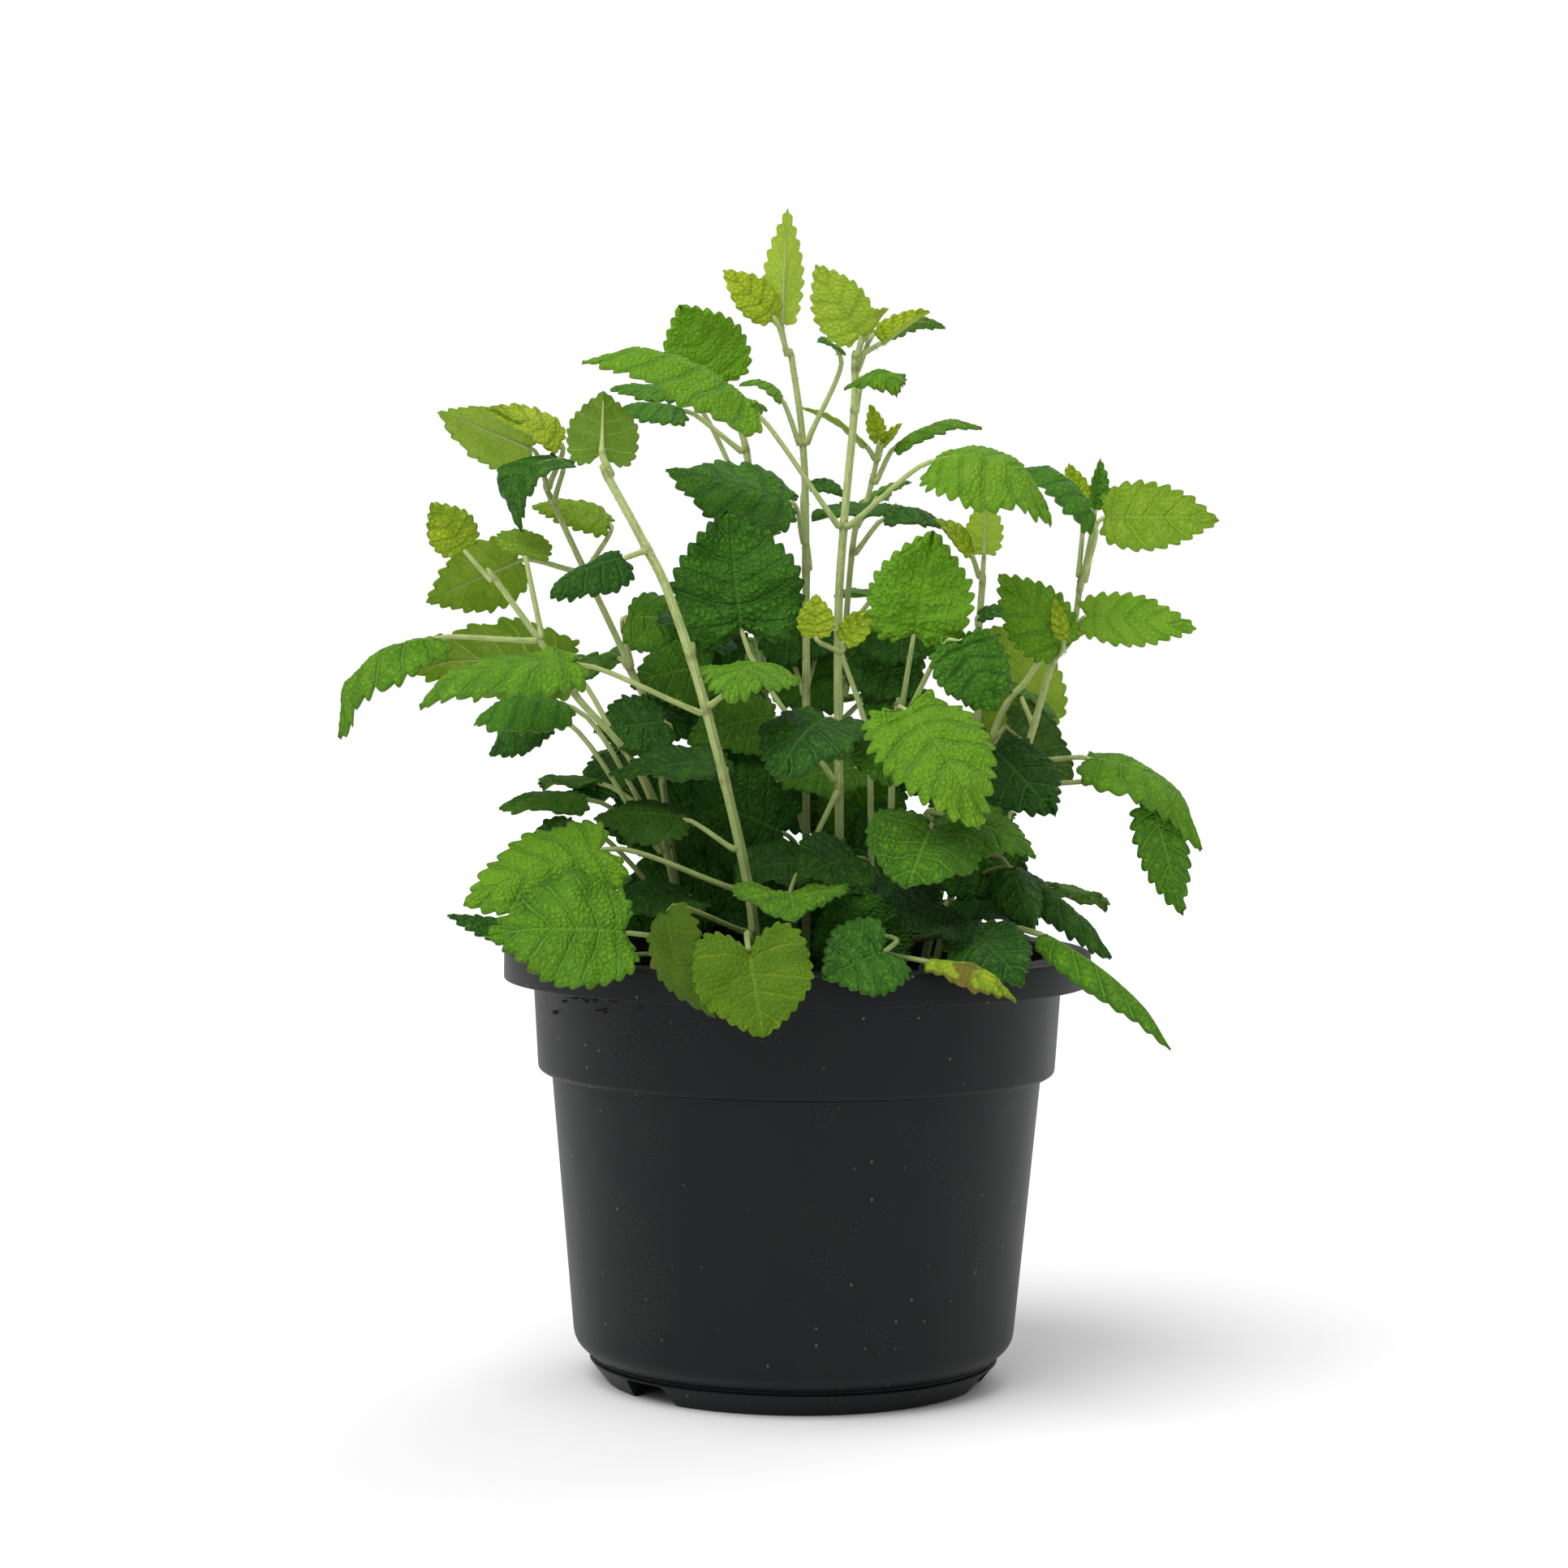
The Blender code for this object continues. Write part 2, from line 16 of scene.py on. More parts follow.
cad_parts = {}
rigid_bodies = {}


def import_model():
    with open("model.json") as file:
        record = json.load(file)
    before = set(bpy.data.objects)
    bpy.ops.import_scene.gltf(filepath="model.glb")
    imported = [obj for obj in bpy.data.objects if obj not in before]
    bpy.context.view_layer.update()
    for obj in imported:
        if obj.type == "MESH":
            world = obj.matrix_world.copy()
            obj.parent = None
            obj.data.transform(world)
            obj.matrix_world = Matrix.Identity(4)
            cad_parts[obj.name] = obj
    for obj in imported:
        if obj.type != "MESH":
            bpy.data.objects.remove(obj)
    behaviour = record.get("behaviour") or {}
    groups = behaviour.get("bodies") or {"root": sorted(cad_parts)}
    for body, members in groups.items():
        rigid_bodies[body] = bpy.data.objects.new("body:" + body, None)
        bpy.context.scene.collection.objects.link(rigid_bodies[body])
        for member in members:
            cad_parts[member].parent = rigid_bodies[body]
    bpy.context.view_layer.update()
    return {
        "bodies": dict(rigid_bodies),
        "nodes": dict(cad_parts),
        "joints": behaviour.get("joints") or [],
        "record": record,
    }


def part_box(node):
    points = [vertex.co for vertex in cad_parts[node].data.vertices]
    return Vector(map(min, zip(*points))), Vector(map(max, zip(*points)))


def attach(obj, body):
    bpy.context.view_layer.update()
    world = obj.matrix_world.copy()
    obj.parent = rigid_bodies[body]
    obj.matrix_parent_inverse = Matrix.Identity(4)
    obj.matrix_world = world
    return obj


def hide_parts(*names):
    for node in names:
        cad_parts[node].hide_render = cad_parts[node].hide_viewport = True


bl_info = {
    "name": "Potted Lemon Balm",
    "version": (1, 0, 0),
    "blender": (4, 5, 0),
    "location": "View3D > Sidebar > Lemon Balm",
    "description": "Builds the finished pot, soil, stems and leaves of a potted lemon balm",
    "category": "Add Mesh",
}

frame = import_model()
POT_LOW, POT_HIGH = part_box("pot")
POT_HEIGHT = POT_HIGH.z
RIM_RADIUS = (POT_HIGH.x - POT_LOW.x) / 2
SOIL_LOW, SOIL_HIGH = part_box("potting_soil")
SOIL_RADIUS = (SOIL_HIGH.x - SOIL_LOW.x) / 2

# The pot's own sizes: its rim and the lip under it, the wide band, the body, and the foot with its holes
WALL = 0.0013
RIM_WIDTH = 0.0062
LIP_HEIGHT = 0.007
BAND_HEIGHT = 0.0205
BAND_DRAFT = 0.0015
BAND_STEP = 0.003
BASE_RADIUS = 0.0488
FOOT_HEIGHT = 0.0048
FOOT_RADIUS = 0.0417
FOOT_SET_IN = 0.0035
FLOOR_UNDERSIDE = 0.0025
HUB_RADIUS = 0.010
NOTCH_COUNT = 3
NOTCH_FIRST = -136
NOTCH_DEPTH = 0.020
NOTCH_WIDTH = 0.0145
NOTCH_HEIGHT = 0.0045
NOTCH_TAPER = 0.80
HOLE_COUNT = 6
HOLE_FIRST = -103
HOLE_CIRCLE = 0.030
HOLE_RADIUS = 0.004
LIP_Z = POT_HEIGHT - LIP_HEIGHT
BAND_TOP = RIM_RADIUS - RIM_WIDTH

# The plant's spread and height that the tables are drawn for, and the real ones
MM = 0.001
TABLE_RIM = 65.0
TABLE_HEIGHT = 164.0
TABLE_REACH = 38.5
PLANT_HEIGHT = 0.164
LEAF_REACH = 0.0385

# The soil: its level, its dome, its gap to the wall, how finely it is drawn, and crumbs under the rim
SOIL_BELOW_RIM = 0.0095
SOIL_RISE = 0.0025
SOIL_FROM_WALL = 0.0004
SOIL_RINGS = 46
SOIL_STEPS = 144
RIM_CRUMBS = 40

# Stems and stalks: points of a stem's span, a stalk and a midrib, how far a stem thins out and how deep
# it stands in the soil in mm, and the radii of a hair
SPAN_POINTS = 12
STALK_POINTS = 10
RIB_POINTS = 14
STEM_TAPER = 0.25
STEM_SUNK = 4
HAIR_RADIUS = 0.000055
HAIR_TIP = 0.000008

# Blades: (rows of faces to a tooth, width of a face in mm), coarser for small leaves over a width,
# where the toothed edge starts, and how far its teeth lean to the tip
FINE_GRID = (7, 0.44)
COARSE_GRID = (5, 0.60)
COARSE_OVER = 12
EDGE_START = 0.72
TOOTH_LEAN = 0.35

# Each stem: radius of its corners, then its line from the foot up. A foot has no height of its own.
STEMS = {
    "stem_1": (1.3, ((-22, -12), (-33, -15, 35), (-49, -17, 56), (-57, -18, 68), (-68, -20, 83))),
    "stem_2": (1.3, ((-24, 4), (-32, 2, 45), (-38, 1, 62), (-48, 0, 83), (-57, -2, 102))),
    "stem_3": (
        1.8,
        ((-8, -34), (-11, -34, 17), (-20, -34, 53), (-28, -33, 77), (-34, -32, 89), (-43, -30, 105)),
    ),
    "stem_4": (1.4, ((2, 8), (1, 8, 84), (0, 8, 112), (-3, 8, 133))),
    "stem_5": (1.6, ((9, -16), (9, -16, 13), (8, -15, 68), (9, -14, 93), (11, -14, 118), (11, -14, 131))),
    "stem_6": (1.5, ((28, 18), (40, 17, 50), (40, 16, 66), (41, 15, 84))),
    "stem_7": (1.3, ((36, 2), (52, 1, 50), (56, 0, 64), (60, 0, 70), (62, 0, 84))),
    "stem_8": (1.3, ((30, 11), (43, 10, 46), (51, 10, 60), (55, 9, 66))),
    "stem_9": (1.5, ((-4, 22), (-9, 21, 70), (-12, 20, 106), (-15, 20, 119))),
    "stem_10": (1.1, ((16, -28), (15, -28, 40), (14, -27, 50), (8, -26, 67))),
    "stem_11": (1.3, ((20, -12), (20, -18, 40), (21, -24, 56))),
    "stem_12": (1.1, ((6, 17), (11, 14, 84), (15, 14, 101), (17, 14, 110))),
}

# A leaf's row: name, number of its stem, height of its node on the stem, base and tip of its midrib,
# width, and the way its upper side faces. bow: how far the midrib arches towards the face.
# fold: how far each half is raised, in degrees. notch: how far the base lobes reach back.
Leaf = namedtuple("Leaf", "name stem node base tip width face bow fold notch colour")
LARGE_ROWS = (
    ("1a", 1, 81, (-73, -20, 87), (-80, -21, 97), 11, (-0.3, -0.8, 0.6), 0, 15, 0.1, "yellow"),
    ("1c", 1, 68, (-79, -22, 68), (-101, -24, 48), 17, (-0.4, -0.4, 0.85), 0.2, -35, 0.1, "green"),
    ("1d", 1, 44, (-53, -4, 62), (-86, -6, 62), 23, (0, 0.75, 0.65), 0.05, 0, 0.2, "pale"),
    ("1e", 1, 28, (-50, -26, 54), (-70, -28, 50), 18, (0, -0.3, 0.95), 0.15, -30, 0.1, "dark"),
    ("1f", 1, 22, (-56, -12, 51), (-68, -14, 43), 14, (-0.2, -0.5, 0.8), 0.1, -25, 0.1, "dark"),
    ("2a", 2, 101, (-60, -4, 110), (-80, -4, 118), 20, (0, 0.55, 0.83), 0, -10, 0.15, "pale"),
    ("2c", 2, 98, (-53, -12, 107), (-61, -14, 91), 20, (-0.7, -0.6, 0.3), 0.42, -10, 0.1, "dark"),
    ("2d", 2, 83, (-63, 0, 85), (-83, -2, 76), 20, (-0.3, 0.7, 0.6), 0, 0, 0.15, "pale"),
    ("3a", 3, 103, (-43, -27, 108), (-43, -22, 121), 18, (0, 0.85, 0.4), 0, 10, 0.3, "pale"),
    ("3c", 3, 87, (-38, -38, 85), (-53, -42, 77), 15, (-0.1, -0.6, 0.8), 0.1, -25, 0.1, "dark"),
    ("3d", 3, 53, (-48, -44, 63), (-80, -48, 56), 19, (0, -0.5, 0.87), 0.08, -15, 0.15, "green"),
    ("3e", 3, 54, (-9, -38, 63), (-15, -59, 57), 21, (0, -0.5, 0.87), 0.1, -15, 0.25, "green"),
    ("3g", 3, 24, (-25, -31, 30), (-44, -30, 30), 20, (0, -0.38, 0.93), 0.05, -10, 0.15, "green"),
    ("3h", 3, 15, (-42, -45, 24), (-70, -51, 13), 23, (-0.1, -0.8, 0.6), 0.05, -15, 0.2, "green"),
    ("3i", 3, 0, (-36, -60, 8), (-64, -66, 8), 26, (-0.1, -0.85, 0.5), 0.05, 0, 0.15, "green"),
    ("3j", 3, 6, (-27, -62, 12), (-18, -73, -8), 18, (-0.6, -0.6, 0.5), 0.15, -10, 0.1, "yellow"),
    ("3k", 3, 3, (-10, -75, 5), (-7, -80, -11), 24, (0.05, -1, 0.2), 0, 8, 0.4, "yellow"),
    ("4a", 4, 132, (-5, 8, 139), (-4, 8, 164), 9, (-0.2, 1, 0.1), 0, 10, 0.1, "pale"),
    ("4e", 4, 90, (-3, 0, 99), (-30, -2, 106), 26, (0, -0.55, 0.83), 0, -10, 0.15, "dark"),
    ("9a", 9, 117, (-19, 17, 126), (-28, 14, 143), 21, (0.2, -1, 0.2), 0, 0, 0.15, "dark"),
    ("9b", 9, 111, (-27, 19, 120), (-44, 18, 119), 14, (0, -0.3, 0.95), 0.1, -20, 0.1, "dark"),
    ("5a", 5, 130, (12, -16, 134), (2, -17, 149), 13, (-0.6, -0.7, 0.4), 0, 10, 0.1, "pale"),
    ("5c", 5, 127, (17, -2, 137), (31, -1, 138), 11, (0, 0.3, 0.95), 0.1, -15, 0.1, "green"),
    ("5d", 5, 118, (13, -18, 125), (20, -25, 121), 15, (0.3, -0.7, 0.7), 0.25, -10, 0.1, "green"),
    ("5e", 5, 93, (-11, -22, 118), (-47, -24, 129), 23, (0, -0.4, 0.92), 0.14, -25, 0.15, "green"),
    ("5f", 5, 93, (28, -28, 107), (53, -34, 94), 25, (0.15, -0.6, 0.8), 0.25, -25, 0.05, "green"),
    ("5g", 5, 38, (-13, -26, 71), (-16, -24, 96), 28, (0, -1, 0.3), 0, 5, 0.25, "dark"),
    ("5h", 5, 35, (-2, -42, 15), (-1, -62, 11), 24, (0, -0.45, 0.9), 0.05, 18, 0.3, "green"),
    ("5i", 5, 5, (17, -66, 5), (5, -72, 0), 18, (0, -0.85, 0.5), 0, 5, 0.3, "dark"),
    ("12b", 12, 104, (21, 14, 112), (40, 14, 117), 9, (0, -0.3, 0.95), 0.12, -15, 0.1, "green"),
    ("6a", 6, 82, (41, 13, 88), (41, 12, 101), 9, (0.1, 1, 0), 0, 25, 0.1, "pale"),
    ("11a", 11, 55, (24, -30, 70), (28, -27, 92), 22, (0.1, -1, 0.35), 0, 5, 0.2, "dark"),
    ("11b", 11, 50, (33.5, -34, 68), (41.5, -37, 54), 18, (0.25, -0.95, 0.3), 0, 0, 0.15, "dark"),
    ("11c", 11, 46, (22, -46, 54), (37, -62, 31), 25, (0.1, -0.75, 0.65), 0.1, -10, 0.15, "green"),
    ("11d", 11, 10, (27, -50, 29), (22, -62, 18), 24, (0, -0.75, 0.65), 0, 5, 0.35, "green"),
    ("11e", 11, 3, (52, -46, 7), (77, -62, -14), 15, (0.2, -0.5, 0.8), 0.08, -50, 0.1, "green"),
    ("10a", 10, 66, (3, -30, 69), (3, -31, 78), 8, (0, -1, 0.1), 0, 5, 0.1, "yellow"),
    ("10c", 10, 44, (6, -36, 52), (-5, -56, 40), 22, (-0.1, -0.6, 0.8), 0.1, -10, 0.2, "dark"),
    ("10e", 10, 8, (30, -49, 13.5), (21, -55, 9.5), 20, (0, -0.7, 0.7), 0, 5, 0.3, "dark"),
    ("7a", 7, 82, (67, -1, 96), (92, -2, 96), 17, (0, -0.9, 0.45), 0, 5, 0.1, "pale"),
    ("7b", 7, 69, (63, -6, 74), (87, -6, 72), 13, (0, -0.85, 0.5), 0, 5, 0.15, "green"),
    ("7c", 7, 67, (57, -10, 67), (43, -11, 83), 15, (-0.4, -0.8, 0.5), 0.1, -10, 0.1, "green"),
    ("7d", 7, 80, (64, -9, 95), (47, -8, 107), 14, (0.3, -0.4, 0.9), 0.18, -25, 0.1, "dark"),
    ("7g", 7, 42, (64, -8, 43), (89, -10, 24), 17, (0.3, -0.5, 0.8), 0.18, -20, 0.1, "green"),
    ("8a", 8, 38, (42, -22, 45), (54, -38, 32), 17, (0.1, -0.9, 0.4), 0, -10, 0.2, "dark"),
    ("8c", 8, 36, (77, -14, 33), (84, -15, 9), 12, (0.2, -1, 0.1), 0, -15, 0.1, "green"),
)
LEAVES = [Leaf("leaf_" + name, *rest) for name, *rest in LARGE_ROWS]

# Young and shaded leaves too small or too hidden for a collision piece of their own, by colour and
# the usual bow, fold and notch. A row that differs ends with its own.
SMALL_ROWS = {
    ("green", 0.1, -10, 0.2): (
        ("9q", 9, 60, (-13, 31, 68), (-15, 52, 65), 24, (0.4, 0.3, 0.9)),
        ("9r", 9, 84, (-13, 30, 91), (-15, 50, 89), 20, (-0.4, 0.4, 0.8)),
        ("9s", 9, 96, (-15, 30, 101), (-17, 48, 99), 15, (0.4, 0.3, 0.9), 0.1, -10, 0.15),
        ("4q", 4, 58, (4, 22, 67), (6, 44, 64), 22, (-0.4, 0.3, 0.85)),
        ("12n", 12, 70, (17, 28, 78), (23, 47, 74), 21, (0.4, 0.3, 0.85)),
        ("12o", 12, 94, (17, 24, 101), (20, 42, 101), 15, (-0.4, 0.3, 0.85), 0.1, -10, 0.15),
        ("6i", 6, 44, (38, 30, 50), (42, 48, 46), 20, (0.5, 0.3, 0.8)),
        ("2k", 2, 38, (-36, 14, 45), (-38, 36, 43), 22, (-0.4, 0.3, 0.85)),
        ("2l", 2, 60, (-41, 12, 64), (-45, 30, 62), 18, (-0.5, 0.3, 0.85)),
        ("7k", 7, 50, (50, 11, 56), (52, 30, 54), 17, (0.5, 0.2, 0.85)),
        ("8j", 8, 30, (47, 22, 39), (51, 42, 36), 20, (0.4, 0.3, 0.85)),
        ("1j", 1, 56, (-51, -6, 60), (-54, 13, 60), 17, (-0.5, 0.1, 0.85)),
        ("6j", 6, 64, (40, 26, 69), (40, 42, 67), 16, (-0.4, 0.3, 0.85)),
        ("9o", 9, 8, (-8, 44, 10), (-4, 66, 6), 22, (0, 0.3, 0.95)),
        ("2j", 2, 6, (-40, 26, 8), (-56, 40, 5), 20, (-0.2, 0.3, 0.9)),
        ("6h", 6, 18, (36, 34, 22), (52, 44, 16), 22, (0.2, 0.4, 0.9)),
        ("12m", 12, 50, (16, 26, 56), (24, 44, 54), 22, (0.1, 0.4, 0.9)),
        ("9p", 9, 74, (-14, 30, 82), (-16, 48, 80), 20, (0, 0.5, 0.85)),
        ("1i", 1, 30, (-44, 4, 36), (-58, 16, 34), 20, (-0.2, 0.3, 0.9)),
        ("8i", 8, 12, (56, 8, 14), (70, 16, 8), 20, (0.3, 0.2, 0.9)),
        ("12l", 12, 28, (12, 10, 36), (19, 8, 21), 21, (0, -0.9, 0.4), 0, 0, 0.15),
        ("9n", 9, 50, (-20, 8, 62), (-38, 6, 58), 18, (0, -0.8, 0.5), 0.05, 0, 0.15),
        ("2e", 2, 62, (-38, -8, 73), (-22, -12, 72), 16, (-0.1, -0.8, 0.6), 0, -10, 0.1),
        ("2f", 2, 22, (-47, -8, 33), (-66, -8, 31), 14, (0, -0.3, 0.95), 0.05, -10, 0.1),
        ("4c", 4, 112, (-5, 4, 122), (-14, 3, 125), 8, (0, -0.3, 0.95), 0.2, -10, 0.1),
        ("10d", 10, 43, (14, -35, 49), (19, -44, 38), 14, (0.2, -0.8, 0.6), 0.05, 0, 0.15),
        ("8e", 8, 22, (31, -40, 32), (50, -43, 24), 20, (0.1, -0.5, 0.85), 0.05, -5, 0.15),
        ("4i", 4, 4, (6, 36, 3), (4, 58, -3), 24, (0, 0.4, 0.9)),
        ("4j", 4, 40, (-2, 24, 47), (-6, 42, 44), 22, (0, 0.45, 0.9)),
        ("9e", 9, 30, (-10, 36, 36), (-18, 52, 30), 22, (0, 0.5, 0.85)),
        ("12g", 12, 24, (14, 32, 28), (20, 48, 22), 22, (0.1, 0.45, 0.9)),
        ("6d", 6, 28, (38, 30, 32), (46, 44, 24), 20, (0.3, 0.5, 0.8)),
        ("2h", 2, 10, (-36, 18, 14), (-50, 32, 8), 22, (-0.3, 0.3, 0.9)),
        ("4k", 4, 44, (-6, 0, 51), (-25, -3, 46), 19, (0, -0.7, 0.7), 0.05, 0, 0.15),
        ("4l", 4, 36, (12, -2, 40), (-4, -8, 36), 17, (0, -0.6, 0.8), 0.05, 0, 0.15),
    ),
    # The dark rows here and in the two dark groups below are mostly inner leaves deep in the plant; their
    # dark colour is partly painted shade.
    ("dark", 0, 0, 0.2): (
        ("5m", 5, 4, (15, -38, 0), (9, -40, 17), 22, (0, -1, 0.2), 0, 5, 0.2),
        ("3n", 3, 64, (-23, -22, 70), (-22, -3, 70), 19, (0.4, 0, 0.9), 0.1, -10, 0.2),
        ("4n", 4, 10, (2, 12, 17), (8, 9, 3), 24, (0, -1, 0.2)),
        ("12k", 12, 10, (22, 10, 18), (19, 7, 4), 20, (0.1, -1, 0.2)),
        ("9l", 9, 6, (-30, 8, 9), (-41, 2, 3), 15, (0, -0.9, 0.4)),
        ("1g", 1, 10, (-49, -20, 27), (-60, -20, 22), 16, (0, -0.4, 0.9), 0, 0, 0.1),
        ("3l", 3, 2, (-58, -30, 3), (-75, -30, 9), 8, (0, -0.5, 0.85), 0.05, -10, 0.1),
        ("4d", 4, 112, (8, 2, 132), (3, -3, 134), 6, (0, -0.5, 0.85), 0.1, 0, 0.1),
        ("4f", 4, 84, (2, 10, 103), (10, 10, 101), 6, (0, -0.5, 0.85), 0.1, 0, 0.1),
        ("9c", 9, 100, (-28, 26, 124), (-44, 27, 125), 12, (0, -0.4, 0.9), 0.05, -10, 0.1),
        ("12d", 12, 96, (20, 0, 98), (2, -5, 95), 20, (0, -0.15, 1), 0, 0, 0.1),
        ("12e", 12, 88, (19, 18, 96), (33, 20, 93), 12, (0, -0.3, 0.95), 0.2, -10, 0.1),
        ("6c", 6, 70, (40, 12, 74), (48, 12, 75), 6, (0, -0.5, 0.85), 0.1, 0, 0.1),
        ("10f", 10, 6, (36, -48, 8), (46, -60, -2), 18, (0.2, -0.75, 0.6), 0.05, 0, 0.15),
        ("7f", 7, 83, (65, 2, 98), (66, 2, 109), 5, (0.3, -0.9, 0.2), 0, 30, 0.1),
        ("8b", 8, 46, (47, 14, 49), (62, 12, 37), 18, (0.2, 0.8, 0.5)),
        ("8d", 8, 14, (49, -12, 18), (69, -14, 0), 14, (0.5, -0.5, 0.7), 0.05, -30, 0.1),
        ("4g", 4, 20, (-4, -6, 26), (-24, -12, 35), 26, (0, -0.9, 0.35)),
        ("9d", 9, 14, (-16, 30, 20), (-36, 36, 18), 22, (-0.2, 0.2, 0.95), 0.1, -10, 0.2),
        ("9f", 9, 5, (-14, 42, 6), (-22, 62, 0), 24, (-0.1, 0.4, 0.9), 0.1, -10, 0.2),
        ("6e", 6, 6, (28, 34, 6), (40, 50, -2), 22, (0.2, 0.45, 0.9), 0.1, -10, 0.2),
        ("9g", 9, 44, (-13, 12, 62), (-36, 12, 54), 25, (0, -0.9, 0.4)),
        ("9h", 9, 22, (-22, 12, 32), (-44, 14, 25), 26, (0, -0.9, 0.4)),
        ("9i", 9, 10, (-18, 6, 16), (-38, 2, 12), 26, (0, -0.9, 0.4)),
        ("4m", 4, 8, (-4, -2, 14), (-20, -8, 10), 26, (0, -0.9, 0.4)),
        ("12h", 12, 12, (12, 2, 22), (28, 0, 16), 26, (0, -0.9, 0.4)),
        ("12i", 12, 40, (14, 8, 50), (30, 4, 44), 24, (0, -0.8, 0.5)),
        ("6f", 6, 14, (36, 2, 24), (50, -2, 14), 24, (0, -0.8, 0.5)),
        ("6g", 6, 40, (34, 12, 46), (20, 8, 36), 24, (0, -0.8, 0.5)),
        ("12j", 12, 62, (16, 10, 74), (31, 8, 66), 20, (0, -0.8, 0.5)),
        ("9j", 9, 58, (-6, 14, 72), (8, 12, 66), 18, (0, -0.8, 0.5)),
        ("9k", 9, 66, (-14, 12, 78), (-30, 10, 68), 18, (0, -0.8, 0.5)),
        ("8h", 8, 20, (46, -18, 19), (51, -24, 6), 13, (0.2, -0.8, 0.5), 0.05, -30, 0.1),
        ("11f", 11, 20, (30, -20, 32), (46, -24, 24), 22, (0.1, -0.7, 0.7), 0.05, 0, 0.15),
        ("11g", 11, 14, (12, -30, 22), (0, -38, 18), 20, (0, -0.7, 0.7), 0.05, 0, 0.15),
    ),
    ("dark", 0, 0, 0.15): (
        ("12p", 12, 56, (14, 12, 68), (27, 9, 56), 20, (0, -0.9, 0.4)),
        ("9m", 9, 42, (-8, 12, 52), (-23, 10, 40), 20, (0, -0.9, 0.4)),
        ("4o", 4, 56, (-2, 16, 66), (9, 14, 52), 21, (0, -0.9, 0.4)),
        ("4p", 4, 26, (-2, 14, 38), (6, 12, 24), 20, (0, -0.9, 0.4)),
        ("2g", 2, 30, (-38, 6, 40), (-51, 8, 34), 16, (0, -0.6, 0.8)),
        ("3f", 3, 38, (-17, -22, 42), (-41, -27, 40), 19, (0, -0.35, 0.94)),
        ("2m", 2, 36, (-30, -10, 50), (-45, -14, 48), 18, (0, -0.7, 0.7)),
        ("2i", 2, 38, (-30, 10, 50), (-16, 8, 58), 16, (0, -0.7, 0.7)),
    ),
    ("dark", 0.05, 0, 0.2): (
        ("4h", 4, 12, (10, 16, 20), (28, 22, 22), 22, (0.1, -0.4, 0.9)),
        ("1h", 1, 8, (-24, -22, 13), (-36, -34, 10), 20, (-0.1, -0.5, 0.85)),
        ("5k", 5, 10, (14, -26, 16), (26, -36, 13), 20, (0.2, -0.5, 0.85)),
        ("5l", 5, 14, (2, -22, 20), (-14, -28, 18), 20, (-0.1, -0.5, 0.85)),
        ("8g", 8, 8, (38, -2, 12), (52, -8, 7), 20, (0.1, -0.4, 0.9)),
    ),
    ("pale", 0, 0, 0.1): (
        ("1b", 1, 68, (-60, -16, 86), (-62, -2, 93), 12, (0, 0.5, 0.8)),
        ("3b", 2, 83, (-43, 5, 94), (-60, 6, 98), 13, (0, -0.5, 0.85), 0.05, -10, 0.1),
        ("8f", 8, 30, (52, 26, 50), (44, 25, 72), 22, (0, 0.95, 0.2), 0, 5, 0.2),
    ),
    ("yellow", 0, 20, 0.1): (
        ("2b", 2, 101, (-53, -9, 111), (-69, -11, 118), 11, (0, -0.6, 0.8), 0.1, 0, 0.1),
        ("4b", 4, 132, (-7, 5, 140), (-18, 4, 150), 9, (-0.4, -0.8, 0.5), 0.05, 0, 0.1),
        ("5b", 5, 130, (17, -13, 133), (27, -12, 140), 8, (-0.3, -0.6, 0.7), 0, 40, 0.1),
        ("5j", 5, 130, (13, -10, 134), (18, -6, 141), 6, (-0.3, 0.5, 0.7), 0, 30, 0.1),
        ("12a", 12, 109, (14, 12, 112), (0, 15, 121), 7, (0, 0.3, 0.9), 0.05, 0, 0.1),
        ("12c", 12, 109, (17, 12, 113), (15, 10, 121), 6, (0, -0.9, 0.3)),
        ("12f", 12, 109, (18, 12, 112), (22, 12, 117), 4, (-0.4, -0.7, 0.5)),
        ("6b", 6, 83, (38, 13, 88), (30, 11, 96), 7, (-0.2, -0.5, 0.8), 0.05, 10, 0.1),
        ("10b", 10, 66, (9, -28, 68), (16, -28, 75), 7, (0, -0.9, 0.4)),
        ("10g", 10, 2, (27, -62, 3), (45, -64, -4), 10, (0, -0.4, 0.9), 0.1, -20, 0.1),
        ("7e", 7, 83, (62, 4, 98), (59, 4, 108), 7, (-0.3, -0.9, 0.2)),
        ("7h", 7, 64, (57, -14, 69), (55, -14, 78), 4, (-0.3, -0.9, 0.2)),
        ("7i", 7, 64, (58, -5, 69), (63, -5, 71), 4, (0, -0.5, 0.85)),
    ),
}
SMALL_LEAVES = [
    Leaf("small_" + row[0], *row[1:7], *(row[7:] or usual), colour)
    for (colour, *usual), rows in SMALL_ROWS.items()
    for row in rows
]
